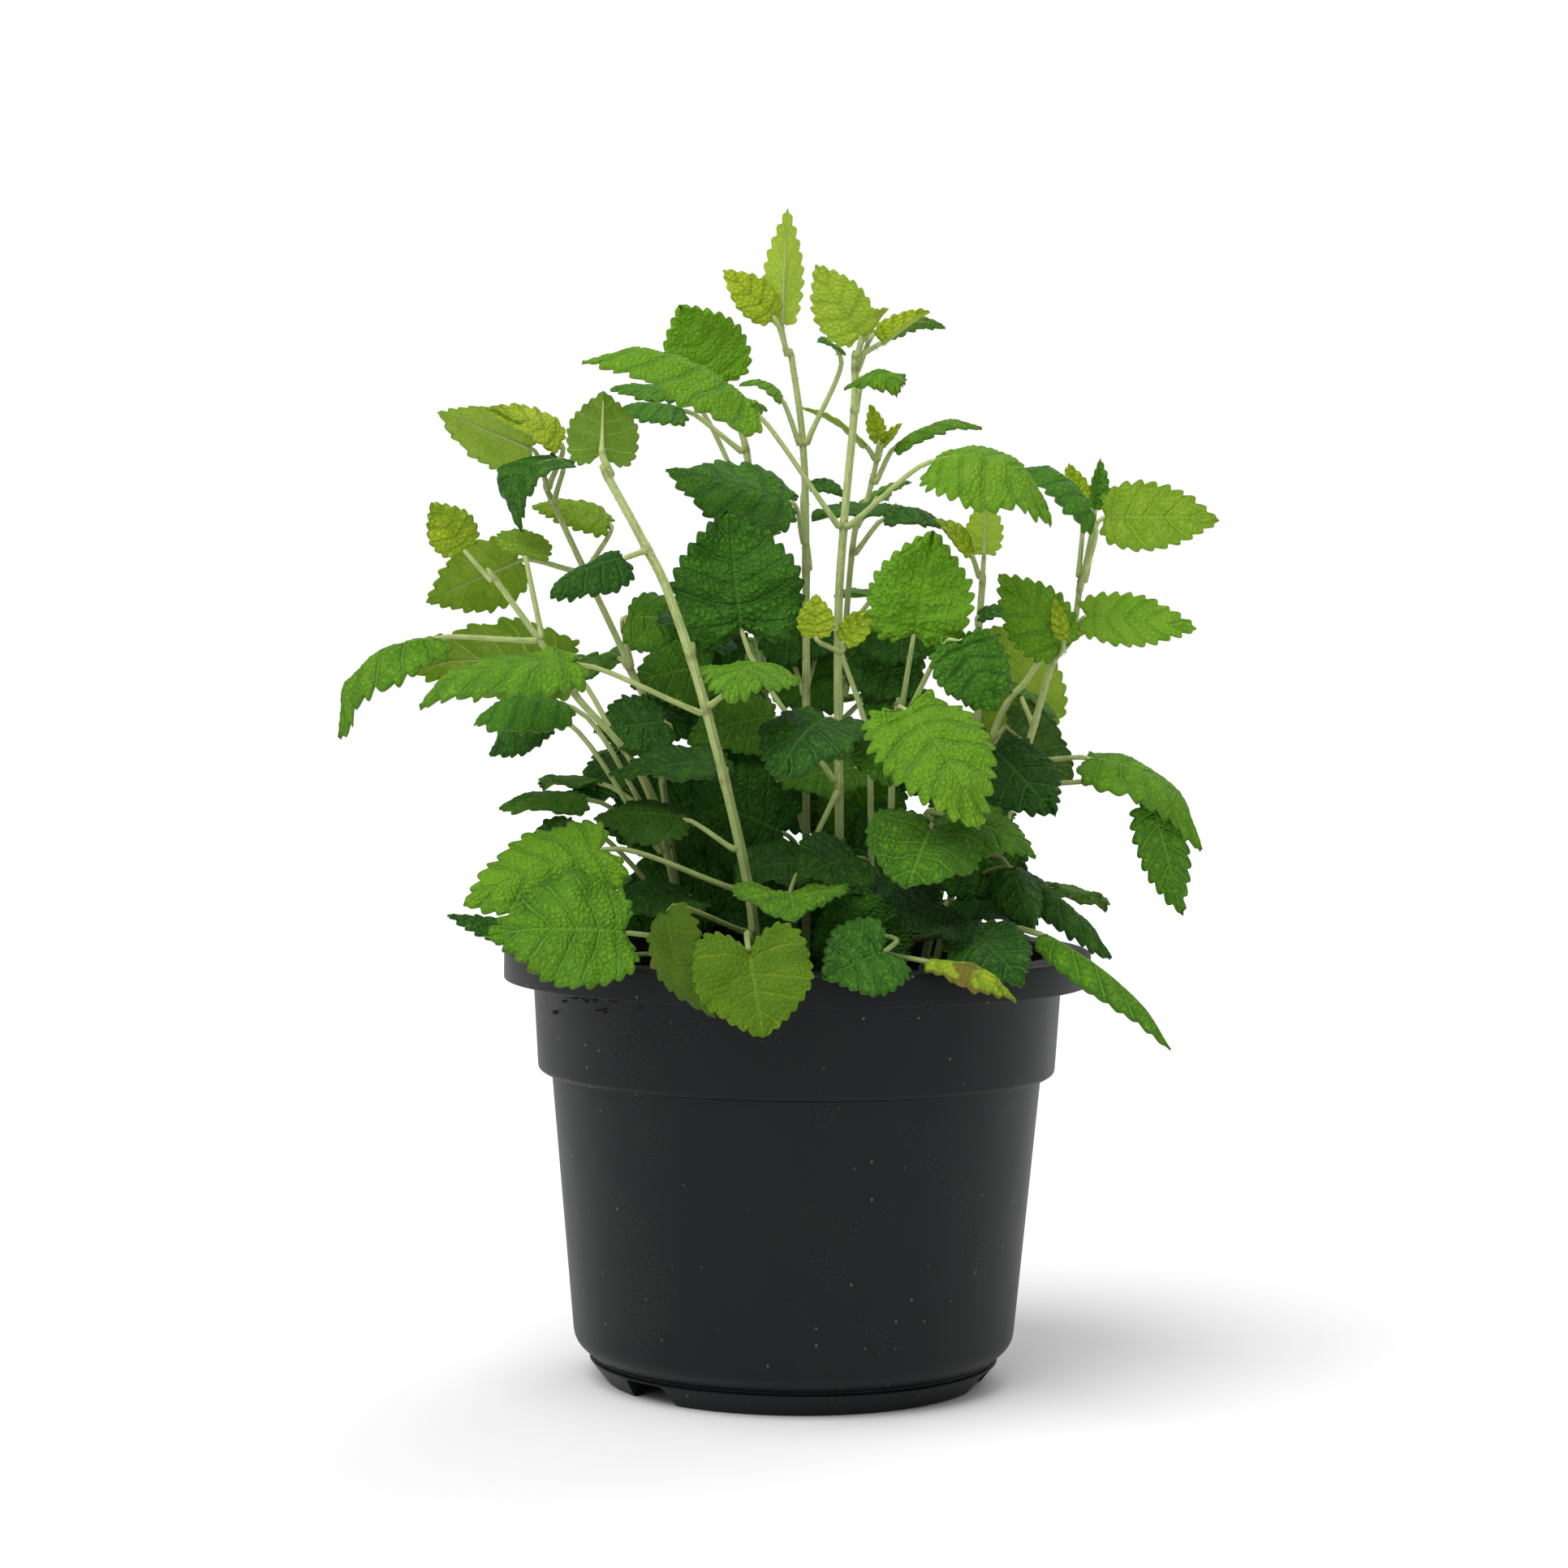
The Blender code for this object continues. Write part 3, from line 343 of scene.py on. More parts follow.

# How a leaf looks. tone: 0 deep to 1 light, and past them deeper or lighter; it holds the leaf's own
# lightness together with painted shade on leaves in shadow and painted light on brightly lit ones.
# puff, wavy, tooth: against the usual. tip: how far the tip bends down. wear: browning from the edge in.
# stalk: its radius in mm.
# slim, flat: share of the width and of the fold in the leaf's row.
Look = namedtuple(
    "Look", "tone puff wavy tooth tip wear stalk slim flat", defaults=(0.5, 0.6, 1, 1, 0.3, 0, 0.64, 1, 1)
)
LOOKS = {
    "1a": (0.4, 0.3, 1, 0.9, 0.3, 0.25, 0.6), "1c": (0.6, 0.5, 1.2, 1.3, 0.8),
    "1d": (0.06, 0.6, 1.2, 1.1, 0.6), "1e": (0.97, 0.6, 1.2), "2a": (0.62, 0.4, 0.8, 1.1),
    "2c": (0.45, 0.8, 1.4, 1, 0.2, 0, 0.64, 0.75, 0.3), "2d": (0.39, 0.6, 0.8, 1.1),
    "3a": (-0.29, 0.6, 0.8, 0.9, 0.2, 0, 0.95, 0.85), "3d": (0.61, 0.6, 1, 1.2, 0.7),
    "3e": (0.72, 0.5, 0.8, 1.35, 0.6), "3g": (-0.87, 0.6, 0.8), "3h": (0.85, 0.5, 0.9, 1.1),
    "3i": (0.45, 0.5, 0.9, 1.1, 0.6, 0.05), "3j": (-0.95, 0.3, 1.2, 0.8, 0.8, 0.35, 0.64, 0.72),
    "3k": (-0.35, 0.16, 0.8, 0.9, 0.3, 0.1, 0.8), "4a": (1.5, 0.4, 0.6, 0.9, 0.1),
    "4e": (0.77, 0.6, 0.8, 1.1), "9a": (2, 0.6, 0.8), "9b": (0.91, 0.5, 0.8, 1.1),
    "5a": (1.05, 0.35, 0.6, 0.9, 0.4), "5c": (0.6, 0.6, 1, 1, 0.5),
    "5d": (0.59, 0.6, 1.4, 1, 0.8, 0.25), "5e": (0.94, 0.7, 0.8, 1.1, 0.5),
    "5f": (1.05, 0.9, 0.8, 1.35, 0.6), "5g": (0.54, 1.15, 1.1, 1.35, 0.2),
    "5h": (0.42, 0.6, 0.8, 0.8, 0.1, 0, 0.64, 1, 0.45), "5i": (0.42, 0.5, 0.9), "12b": (0.6, 0.6, 0.9),
    "6a": (1.4, 0.4, 0.8, 0.9, 0.2), "11a": (1.8, 1.25, 1, 1.25), "11b": (0.91, 1.2, 1.3),
    "11c": (0.95, 0.9, 1, 1.5, 0.7), "11d": (0.02, 0.45, 1, 0.8),
    "11e": (0.25, 0.15, 0.5, 0.4, 0.3, 0.05, 0.8, 0.72), "10a": (1, 0.22, 0.8, 0.65),
    "10c": (0.17, 0.5, 1, 0.9), "10e": (-0.86, 0.5, 1, 0.8), "7a": (0.15, 0.3, 0.7, 1.1),
    "7b": (1.1, 0.35, 0.8, 1.25), "7c": (0.89, 0.7, 1, 1.1), "7d": (0.9, 0.7, 1.2, 1, 0.6),
    "7g": (0.55, 0.5, 1, 1.1), "8a": (-0.28, 1.1, 1.3), "8c": (0.13, 0.5, 1.4), "5m": (0.3, 0.4),
    "2b": (0.95, 0.25, 1, 0.8), "3b": (0.25, 0.6, 0.8, 1.2, 0.3, 0, 0.6), "4b": (0.95, 0.2, 1, 0.65),
    "4c": (0.8,), "4d": (0.9,), "4f": (0.5,), "9c": (1.2,), "5b": (1, 0.15, 1, 0.65),
    "5j": (0.85, 0.15, 1, 0.65), "12a": (0.95, 0.15, 1, 0.65, 0.3, 0, 0.64, 0.75),
    "12c": (0.95, 0.15, 1, 0.65, 0.3, 0, 0.64, 0.75), "12f": (0.95, 0.15, 1, 0.65, 0.3, 0, 0.64, 0.75),
    "12d": (0.5,), "12e": (0.45,), "6b": (0.8, 0.2, 1, 0.65), "6c": (0.4,), "10b": (0.7, 0.22, 1, 0.65),
    "10g": (0.5, 0.5, 1.5, 0.8, 0.5, 0.75), "7e": (0.8, 0.15, 1, 0.65), "7f": (1.2, 0.2, 1, 0.65),
    "7h": (0.8, 0.15, 1, 0.65), "7i": (0.8, 0.15, 1, 0.65), "8b": (0.4, 0.5, 1, 0.8, 0.3, 0.25),
    "8f": (0.58, 0.5, 0.8, 0.9),
}


# ---------------------------------------------------------------- settings


def number_setting(name, description, default, low, high):
    return FloatProperty(name=name, description=description, default=default, min=low, max=high)


def colour_setting(name, description, *default):
    return FloatVectorProperty(name=name, description=description, subtype="COLOR", default=default)


def count_setting(name, description, default, low, high):
    return IntProperty(name=name, description=description, default=default, min=low, max=high)


class PotSettings(bpy.types.PropertyGroup):
    """Sizes and colours of the pot and of the soil in it."""

    steps: count_setting("Steps", "Steps around the pot", 160, 48, 240)
    plastic: colour_setting("Plastic", "Colour of the pot", 0.0047, 0.0063, 0.0073)
    gloss: number_setting("Roughness", "Roughness of the plastic", 0.46, 0, 1)
    soil: colour_setting("Soil", "Colour of the dry soil", 0.060, 0.036, 0.021)
    crumbs: count_setting("Crumbs", "Loose crumbs on the soil", 620, 0, 3000)


class PlantSettings(bpy.types.PropertyGroup):
    """Sizes of the leaves and stems. Table lengths are in millimetres."""

    thickness: number_setting("Leaf thickness", "Thickness of a leaf blade, in mm", 0.34, 0.1, 1)
    tooth: number_setting("Tooth depth", "Depth of a tooth as a share of its width", 0.48, 0, 0.8)
    puff: number_setting("Puffing", "How far the blade rises between its veins, in mm", 1.0, 0, 2)
    stem: number_setting("Stem width", "Width of the stems against the frame's", 0.7, 0.5, 1)
    hairs: count_setting("Hairs", "Fine hairs on each stem", 90, 0, 400)


class LeafColours(bpy.types.PropertyGroup):
    """The deep and light colours that each kind of leaf varies between. The deep colours are partly
    painted shade in the hollows and the light ones partly painted light on the swellings; the dark colours
    also serve as painted shade on the inner leaves.
    """

    green_deep: colour_setting("Green, deep", "Fresh leaves in their hollows", 0.055, 0.18, 0.005)
    green_light: colour_setting("Green, light", "Fresh leaves on their swellings", 0.2, 0.44, 0.014)
    dark_deep: colour_setting("Dark, deep", "Old leaves in their hollows", 0.02, 0.085, 0.007)
    dark_light: colour_setting("Dark, light", "Old leaves on their swellings", 0.085, 0.27, 0.016)
    pale_deep: colour_setting("Pale, deep", "Young leaves in their hollows", 0.17, 0.33, 0.018)
    pale_light: colour_setting("Pale, light", "Young leaves on their swellings", 0.47, 0.62, 0.06)
    yellow_deep: colour_setting("Yellow, deep", "Yellowed leaves in their hollows", 0.12, 0.27, 0.008)
    yellow_light: colour_setting("Yellow, light", "Yellowed leaves on their swellings", 0.5, 0.62, 0.03)
    stem: colour_setting("Stem", "Stems and leaf stalks", 0.29, 0.35, 0.105)


class StageSettings(bpy.types.PropertyGroup):
    """The floor and the lights."""

    floor: colour_setting("Floor", "Colour of the floor", 0.93, 0.93, 0.93)
    sky: number_setting("Surround", "How strongly the white surround lights the plant", 0.50, 0, 5)
    key: number_setting("Upper light", "Strength of the soft upper light", 2.3, 0, 10)


# ---------------------------------------------------------------- finishes


class Value:
    """A socket of a finish, for use in sums."""

    def __init__(self, finish, socket):
        self.finish = finish
        self.socket = socket

    def math(self, operation, *others, clamp=False):
        numbers = dict(enumerate((self, *others)))
        return self.finish.node("Math", {"operation": operation, "use_clamp": clamp}, numbers)

    def __add__(self, other):
        return self.math("ADD", other)

    __radd__ = __add__

    def __mul__(self, other):
        return self.math("MULTIPLY", other)

    __rmul__ = __mul__

    def __sub__(self, other):
        return self.math("SUBTRACT", other)

    def __rsub__(self, other):
        return self * -1.0 + other

    def __abs__(self):
        return self.math("ABSOLUTE")

    def clamped(self):
        return self.math("ADD", 0.0, clamp=True)

    def between(self, low, high):
        """0 where it is low, 1 where it is high, with a smooth step."""
        sockets = {"Value": self, "From Min": low, "From Max": high}
        return self.finish.node("MapRange", {"interpolation_type": "SMOOTHSTEP"}, sockets)


class Finish:
    """A procedural material, built node by node."""

    def __init__(self, name):
        self.material = bpy.data.materials.new(name)
        self.material.use_nodes = True
        self.tree = self.material.node_tree
        self.tree.nodes.clear()

    def node(self, kind, settings=None, sockets=None, out=0):
        made = self.tree.nodes.new("ShaderNode" + kind)
        for key, value in (settings or {}).items():
            setattr(made, key, value)
        for key, value in (sockets or {}).items():
            if isinstance(value, Value):
                self.tree.links.new(value.socket, made.inputs[key])
            else:
                made.inputs[key].default_value = value
        return Value(self, made.outputs[out])

    def attribute(self, name, out="Fac"):
        return self.node("Attribute", {"attribute_name": name}, out=out)

    def parts(self, vector):
        """The three numbers of a vector."""
        split = self.node("SeparateXYZ", sockets={"Vector": vector})
        outputs = split.socket.node.outputs
        return [Value(self, outputs[index]) for index in range(3)]

    def joined(self, x, y, z=0.0):
        return self.node("CombineXYZ", sockets={"X": x, "Y": y, "Z": z})

    def place(self):
        return self.node("TexCoord", out="Object")

    def noise(self, vector, scale, detail=3.0, roughness=0.55, distortion=0.0):
        sockets = {"Vector": vector, "Scale": scale, "Detail": detail, "Roughness": roughness}
        return self.node("TexNoise", sockets={**sockets, "Distortion": distortion})

    def cells(self, vector, scale, feature="F1", dimensions="3D", out="Distance"):
        settings = {"feature": feature, "voronoi_dimensions": dimensions}
        return self.node("TexVoronoi", settings, {"Vector": vector, "Scale": scale}, out)

    def mixed(self, amount, first, second):
        """A colour between two colours."""
        first, second = (part if isinstance(part, Value) else (*part, 1) for part in (first, second))
        return self.node("Mix", {"data_type": "RGBA"}, {0: amount, 6: first, 7: second}, out=2)

    def bump(self, height, distance, strength=1.0):
        return self.node("Bump", sockets={"Height": height, "Distance": distance, "Strength": strength})

    def surface(self, colour, roughness, normal=None, through=None, share=0.0, **constants):
        """Ends the finish. through is the colour of light that shines through, and share how much does."""
        sockets = {"Base Color": colour, "Roughness": roughness}
        if normal:
            sockets["Normal"] = normal
        for key, value in constants.items():
            sockets[key.replace("_", " ")] = value
        shader = self.node("BsdfPrincipled", sockets=sockets)
        if through:
            lit = {"Color": (*through, 1)}
            if normal:
                lit["Normal"] = normal
            behind = self.node("BsdfTranslucent", sockets=lit)
            shader = self.node("MixShader", sockets={0: share, 1: shader, 2: behind})
        output = self.tree.nodes.new("ShaderNodeOutputMaterial")
        self.tree.links.new(shader.socket, output.inputs["Surface"])
        return self.material


def made_once(maker):
    """The finish from an earlier call, if there is one."""
    kept = {}

    def get(*key):
        if key not in kept:
            kept[key] = maker(*key)
        return kept[key]

    return get


@made_once
def plastic_finish():
    """Charcoal moulded plastic with soft scuffs, dust specks and dried soil marks near the foot."""
    pot = bpy.context.scene.balm_pot
    f = Finish("charcoal_plastic")
    place = f.place()
    x, y, z = f.parts(place)
    turn = y.math("ARCTAN2", x)
    wall = f.joined(turn * 0.055, z)
    streaks = f.noise(f.joined(turn * 3.0, z * 14.0), 2.0, 4.0, 0.6)
    dust = f.noise(place, 38.0, 5.0, 0.6)
    grain = f.noise(place, 1700.0, 2.0)
    stretched = f.joined(turn * 0.062, z)
    distance = f.cells(stretched, 230.0, dimensions="2D")
    chance = f.parts(f.cells(stretched, 230.0, dimensions="2D", out="Color"))
    flecks = (1.0 - distance.between(0.04, 0.09)) * chance[0].between(0.86, 0.88)
    fine = f.cells(wall, 900.0, dimensions="2D")
    motes = (1.0 - fine.between(0.06, 0.12)) * f.noise(place, 45.0).between(0.56, 0.66)
    smears = f.noise(f.joined(turn * 9.0, z * 70.0, 4.0), 1.0, 5.0, 0.7).between(0.6, 0.8)
    low = 1.0 - z.between(0.004, 0.02)
    colour = f.mixed(streaks.between(0.4, 0.75) * 0.3, tuple(pot.plastic), (0.0095, 0.0112, 0.0118))
    colour = f.mixed(dust.between(0.5, 0.8) * 0.25, colour, (0.022, 0.020, 0.018))
    colour = f.mixed((smears * low * 0.6).clamped(), colour, (0.05, 0.038, 0.026))
    colour = f.mixed(motes * 0.3, colour, (0.12, 0.11, 0.10))
    colour = f.mixed(flecks * chance[1].between(0.2, 0.9) * 0.5, colour, (0.26, 0.21, 0.15))
    roughness = streaks * 0.10 + dust * 0.12 + (pot.gloss - 0.11)
    height = grain * 0.25 + dust * 0.5 + flecks * 0.6
    return f.surface(colour, roughness, f.bump(height, 0.00025, 0.35), Specular_IOR_Level=0.18)


@made_once
def soil_finish():
    """Dark peat with paler fibres and damp patches."""
    f = Finish("peat_soil")
    place = f.place()
    clods = f.noise(place, 120.0, 6.0, 0.65)
    fibres = f.noise(place, 900.0, 4.0, 0.7, 1.5)
    damp = f.noise(place, 32.0, 3.0)
    dry = tuple(bpy.context.scene.balm_pot.soil)
    wet = tuple(part * 0.28 for part in dry)
    colour = f.mixed(clods.between(0.35, 0.7), wet, dry)
    colour = f.mixed(fibres.between(0.62, 0.72) * 0.6, colour, (0.20, 0.13, 0.075))
    colour = f.mixed(damp.between(0.5, 0.7) * 0.5, colour, (0.010, 0.007, 0.005))
    roughness = 0.95 - damp.between(0.5, 0.7) * 0.25
    return f.surface(colour, roughness, f.bump(clods + fibres * 0.5, 0.0012, 0.8))


@made_once
def stem_finish():
    """Cream-green stem with ridges along it and brown rings at the nodes, and painted shade that makes the
    lower stems darker and greener.
    """
    f = Finish("stem_skin")
    place = f.place()
    run, around, joint = f.parts(f.attribute("skin", "Vector"))
    ridges = f.noise(f.joined(run * 0.12, around * 5.0, joint), 3.0, 3.0, 0.6)
    mottle = f.noise(place, 160.0, 4.0, 0.6)
    fuzz = f.noise(place, 2600.0, 2.0)
    base = tuple(bpy.context.scene.balm_colours.stem)
    light = tuple(min(1.0, part * 1.7 + 0.09) for part in base)
    green = (base[0] * 0.50, base[1] * 0.72, base[2] * 0.35)
    colour = f.mixed(ridges.between(0.28, 0.62), base, light)
    colour = f.mixed(mottle.between(0.45, 0.75) * 0.35, colour, green)
    # Painted shade: the lower stems, under the leaves, darken towards a deep green.
    shaded = 1.0 - f.parts(place)[2].between(0.095, 0.165)
    colour = f.mixed(shaded * 0.55, colour, tuple(part * 0.72 for part in green))
    colour = f.mixed(joint.between(0.35, 1.0) * mottle.between(0.3, 0.6) * 0.7, colour, (0.20, 0.13, 0.05))
    height = ridges + fuzz * 0.35
    roughness = 0.42 + fuzz * 0.25
    normal = f.bump(height, 0.00025, 0.5)
    return f.surface(colour, roughness, normal, light, 0.10, Specular_IOR_Level=0.4)


LEAF_KINDS = {
    # kind: gloss, how far veins stand out in colour, light through the blade
    "green": (0.38, 0.48, 0.28),
    "dark": (0.31, 0.38, 0.20),
    "pale": (0.44, 0.45, 0.40),
    "yellow": (0.45, 0.26, 0.36),
}


# The places of a leaf's finishes on its piece
UPPER, UNDER, SKIN = range(3)


@made_once
def leaf_finish(kind, under):
    """A leaf's upper side, or its paler and duller underside with standing veins."""
    colours = bpy.context.scene.balm_colours
    deep = tuple(getattr(colours, kind + "_deep"))
    light = tuple(getattr(colours, kind + "_light"))
    gloss, veined, share = LEAF_KINDS[kind]
    # The colour that tones past 1 reach, partly painted light on brightly lit leaves.
    lighter = {"dark": colours.green_light, "green": colours.pale_light}.get(kind)
    brightest = tuple(lighter or [min(1.0, part * 1.4) for part in light])
    f = Finish("leaf_%s_%s" % (kind, "under" if under else "upper"))
    place = f.place()
    vein_run, side, tone = f.parts(f.attribute("veins", "Vector"))
    cell_run, cell_side, wear = f.parts(f.attribute("cells", "Vector"))
    puff = f.attribute("puff")
    patches = f.noise(place, 75.0, 4.0, 0.6)
    fine = f.noise(place, 1500.0, 3.0, 0.6)
    wobble = (f.noise(place, 260.0, 2.0) - 0.5) * 0.16
    to_vein = abs((vein_run + wobble).math("FRACT") - 0.5)
    branch = to_vein.between(0.445, 0.485) * (1.0 - side.between(0.80, 1.0))
    midrib = 1.0 - side.between(0.015, 0.05)
    net = f.cells(f.joined(cell_run, cell_side), 1.0, "DISTANCE_TO_EDGE", "2D")
    mesh = 1.0 - net.between(0.02, 0.13)
    main = midrib.math("MAXIMUM", branch)
    # Painted shade and light: the hollows between the puffed cushions darker, the cushions lighter. The
    # tone brings each leaf's own lightness with its painted shade and light; patches and fine grain vary
    # at random.
    lightness = (tone + (patches - 0.5) * 0.8 + (puff - 0.45) * 0.75 + (fine - 0.5) * 0.45).clamped()
    # Tones past 1 give painted light on brightly lit leaves and tones under 0 painted shade on leaves in
    # shadow.
    brighter = (tone - 1.0).clamped() * 0.8
    darker = (0.0 - tone).clamped() * 0.8
    if under:
        pale = tuple(0.7 * a + 0.3 * b for a, b in zip(light, (0.34, 0.42, 0.16)))
        dull = tuple(0.7 * a + 0.3 * b for a, b in zip(deep, (0.16, 0.25, 0.07)))
        colour = f.mixed(lightness, dull, pale)
        colour = f.mixed(mesh * 0.30, colour, pale)
        colour = f.mixed(main * 0.6, colour, tuple(min(1.0, part * 1.3 + 0.04) for part in pale))
    else:
        colour = f.mixed(lightness, deep, light)
        # Painted shade in the grooves beside the veins and along the fine net of the blade.
        beside_vein = to_vein.between(0.36, 0.47) * (1.0 - side.between(0.85, 1.0))
        groove = (mesh * 0.35).math("MAXIMUM", beside_vein * 0.7)
        colour = f.mixed(groove, colour, tuple(0.47 * a + 0.15 * b for a, b in zip(deep, light)))
        colour = f.mixed(main * veined, colour, tuple(min(1.0, part * 1.2 + 0.02) for part in light))
    # The painted light and painted shade of tones past their range.
    colour = f.mixed(brighter, colour, brightest)
    colour = f.mixed(darker, colour, tuple(part * 0.3 for part in deep))
    edge = side.between(0.80, 1.0) * 0.9 + patches.between(0.52, 0.66)
    browned = (edge - (1.0 - wear) * 1.6).between(0.1, 0.5)
    colour = f.mixed(browned * 0.85, colour, (0.17, 0.085, 0.030))
    spots = (1.0 - f.cells(place, 420.0).between(0.05, 0.14)) * patches.between(0.55, 0.62)
    colour = f.mixed(spots * wear, colour, (0.07, 0.035, 0.015))
    if under:
        height = main * 0.9 + mesh * 0.35 + fine * 0.25
        roughness = 0.62 + fine * 0.15
    else:
        height = net.between(0.0, 0.4) - to_vein.between(0.30, 0.48) * 0.8 + fine * 0.25
        roughness = gloss + fine * 0.18 + (1.0 - puff) * 0.15
    through = tuple(min(1.0, part * 1.3 + 0.01) for part in light)
    normal = f.bump(height, 0.0004, 0.7)
    shine = 0.18 if kind == "dark" else 0.28
    return f.surface(colour, roughness, normal, through, share, Specular_IOR_Level=shine)


@made_once
def floor_finish():
    f = Finish("floor_paper")
    tint = f.noise(f.place(), 3.0, 2.0)
    floor = tuple(bpy.context.scene.balm_stage.floor)
    colour = f.mixed(tint * 0.1, floor, tuple(part * 0.97 for part in floor))
    return f.surface(colour, 0.9 + tint * 0.05)


# ---------------------------------------------------------------- helpers


def new_shape():
    """A bmesh that carries the layers the finishes read."""
    shape = bmesh.new()
    shape.verts.layers.float_vector.new("veins")
    shape.verts.layers.float_vector.new("cells")
    shape.verts.layers.float_vector.new("skin")
    shape.verts.layers.float.new("puff")
    return shape


def linked(name, data):
    """A mesh, a light or a camera as an object in the scene."""
    obj = bpy.data.objects.new(name, data)
    bpy.context.scene.collection.objects.link(obj)
    return obj


def meshed(name, shape, finishes=()):
    """A shape as an object in the scene."""
    mesh = bpy.data.meshes.new(name)
    shape.to_mesh(mesh)
    shape.free()
    for finish in finishes:
        mesh.materials.append(finish)
    return linked(name, mesh)


def finished(name, shape, finishes, slot, nodes=()):
    """Ends a shape as a piece of the object."""
    obj = meshed(name, shape, finishes)
    obj.data.shade_smooth()
    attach(obj, "root")
    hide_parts(*nodes)
    return obj


def eased(value, low, high):
    """0 under low, 1 over high, smooth between."""
    share = min(1.0, max(0.0, (value - low) / (high - low)))
    return share * share * (3 - 2 * share)


def rounded(corners, sizes):
    """A profile whose corners are eased by short arcs."""
    profile = [corners[0]]
    for before, corner, after, size in zip(corners, corners[1:], corners[2:], sizes):
        corner = Vector(corner)
        to_before = Vector(before) - corner
        to_after = Vector(after) - corner
        cut = min(size, 0.45 * to_before.length, 0.45 * to_after.length)
        first = corner + to_before.normalized() * cut
        last = corner + to_after.normalized() * cut
        steps = 4 if cut > 0.0002 else 1
        for index in range(steps + 1):
            share = index / steps
            bend = first.lerp(corner, share).lerp(corner.lerp(last, share), share)
            profile.append(tuple(bend))
    profile.append(corners[-1])
    return profile


def spun(profile, steps):
    """A profile of (radius, height) turned about Z and closed."""
    shape = new_shape()
    verts = [shape.verts.new((radius, 0, height)) for radius, height in profile]
    edges = [shape.edges.new(pair) for pair in zip(verts, verts[1:])]
    bmesh.ops.spin(shape, geom=verts + edges, axis=(0, 0, 1), angle=math.tau, steps=steps, use_merge=True)
    bmesh.ops.remove_doubles(shape, verts=shape.verts, dist=0.000002)
    bmesh.ops.recalc_face_normals(shape, faces=shape.faces)
    return shape


def tube(shape, path, section, rings, spokes, finish, skin):
    """A closed tube. path gives (centre, across, up) for a share of its length, section a radius."""
    layer = shape.verts.layers.float_vector["skin"]
    grid = bmesh.ops.create_grid(shape, x_segments=rings, y_segments=spokes, size=1)["verts"]
    frames = [path(index / rings) for index in range(rings + 1)]
    for vertex in grid:
        ring = round((vertex.co.x + 1) / 2 * rings)
        spoke = round((vertex.co.y + 1) / 2 * spokes)
        centre, across, up = frames[ring]
        angle = math.tau * (spoke % spokes) / spokes
        out = across * math.cos(angle) + up * math.sin(angle)
        vertex.co = centre + out * section(ring / rings, angle)
        vertex[layer] = skin(ring / rings, abs(2 * spoke / spokes - 1))
    bmesh.ops.remove_doubles(shape, verts=grid, dist=0.0000005)
    kept = [vertex for vertex in grid if vertex.is_valid]
    rims = list({edge for vertex in kept for edge in vertex.link_edges if edge.is_boundary})
    bmesh.ops.holes_fill(shape, edges=rims, sides=0)
    faces = list({face for vertex in kept for face in vertex.link_faces})
    for face in faces:
        face.material_index = finish
    bmesh.ops.recalc_face_normals(shape, faces=faces)


def framed(points):
    """A path through world points, with its two side directions carried along without a twist."""
    frames = []
    across = None
    for index, point in enumerate(points):
        ahead = points[min(index + 1, len(points) - 1)]
        behind = points[max(index - 1, 0)]
        tangent = (ahead - behind).normalized()
        if across is None:
            across = Vector((0, 1, 0)).cross(tangent)
            if across.length < 0.1:
                across = Vector((1, 0, 0)).cross(tangent)
        across = (across - tangent * across.dot(tangent)).normalized()
        frames.append((point, across, tangent.cross(across)))

    def path(share):
        return frames[round(share * (len(points) - 1))]

    return path


def curve_through(points, per_span):
    """Points on a smooth curve through the given points."""
    padded = [points[0] * 2 - points[1], *points, points[-1] * 2 - points[-2]]
    curve = []
    for a, b, c, d in zip(padded, padded[1:], padded[2:], padded[3:]):
        for step in range(per_span):
            u = step / per_span
            squared = (a * 2 - b * 5 + c * 4 - d) * u**2
            cubed = (b * 3 - a - c * 3 + d) * u**3
            curve.append(0.5 * (b * 2 + (c - a) * u + squared + cubed))
    curve.append(points[-1].copy())
    return curve


def hair(shape, root, way, length, finish):
    """One fine hair, a slim cone."""
    turn = Vector((0, 0, 1)).rotation_difference(way).to_matrix().to_4x4()
    place = Matrix.Translation(root + way * length * 0.45) @ turn
    sizes = {"radius1": HAIR_RADIUS, "radius2": HAIR_TIP, "depth": length}
    made = bmesh.ops.create_cone(shape, cap_ends=True, segments=3, matrix=place, **sizes)
    for vertex in made["verts"]:
        for face in vertex.link_faces:
            face.material_index = finish


# ---------------------------------------------------------------- pot and soil


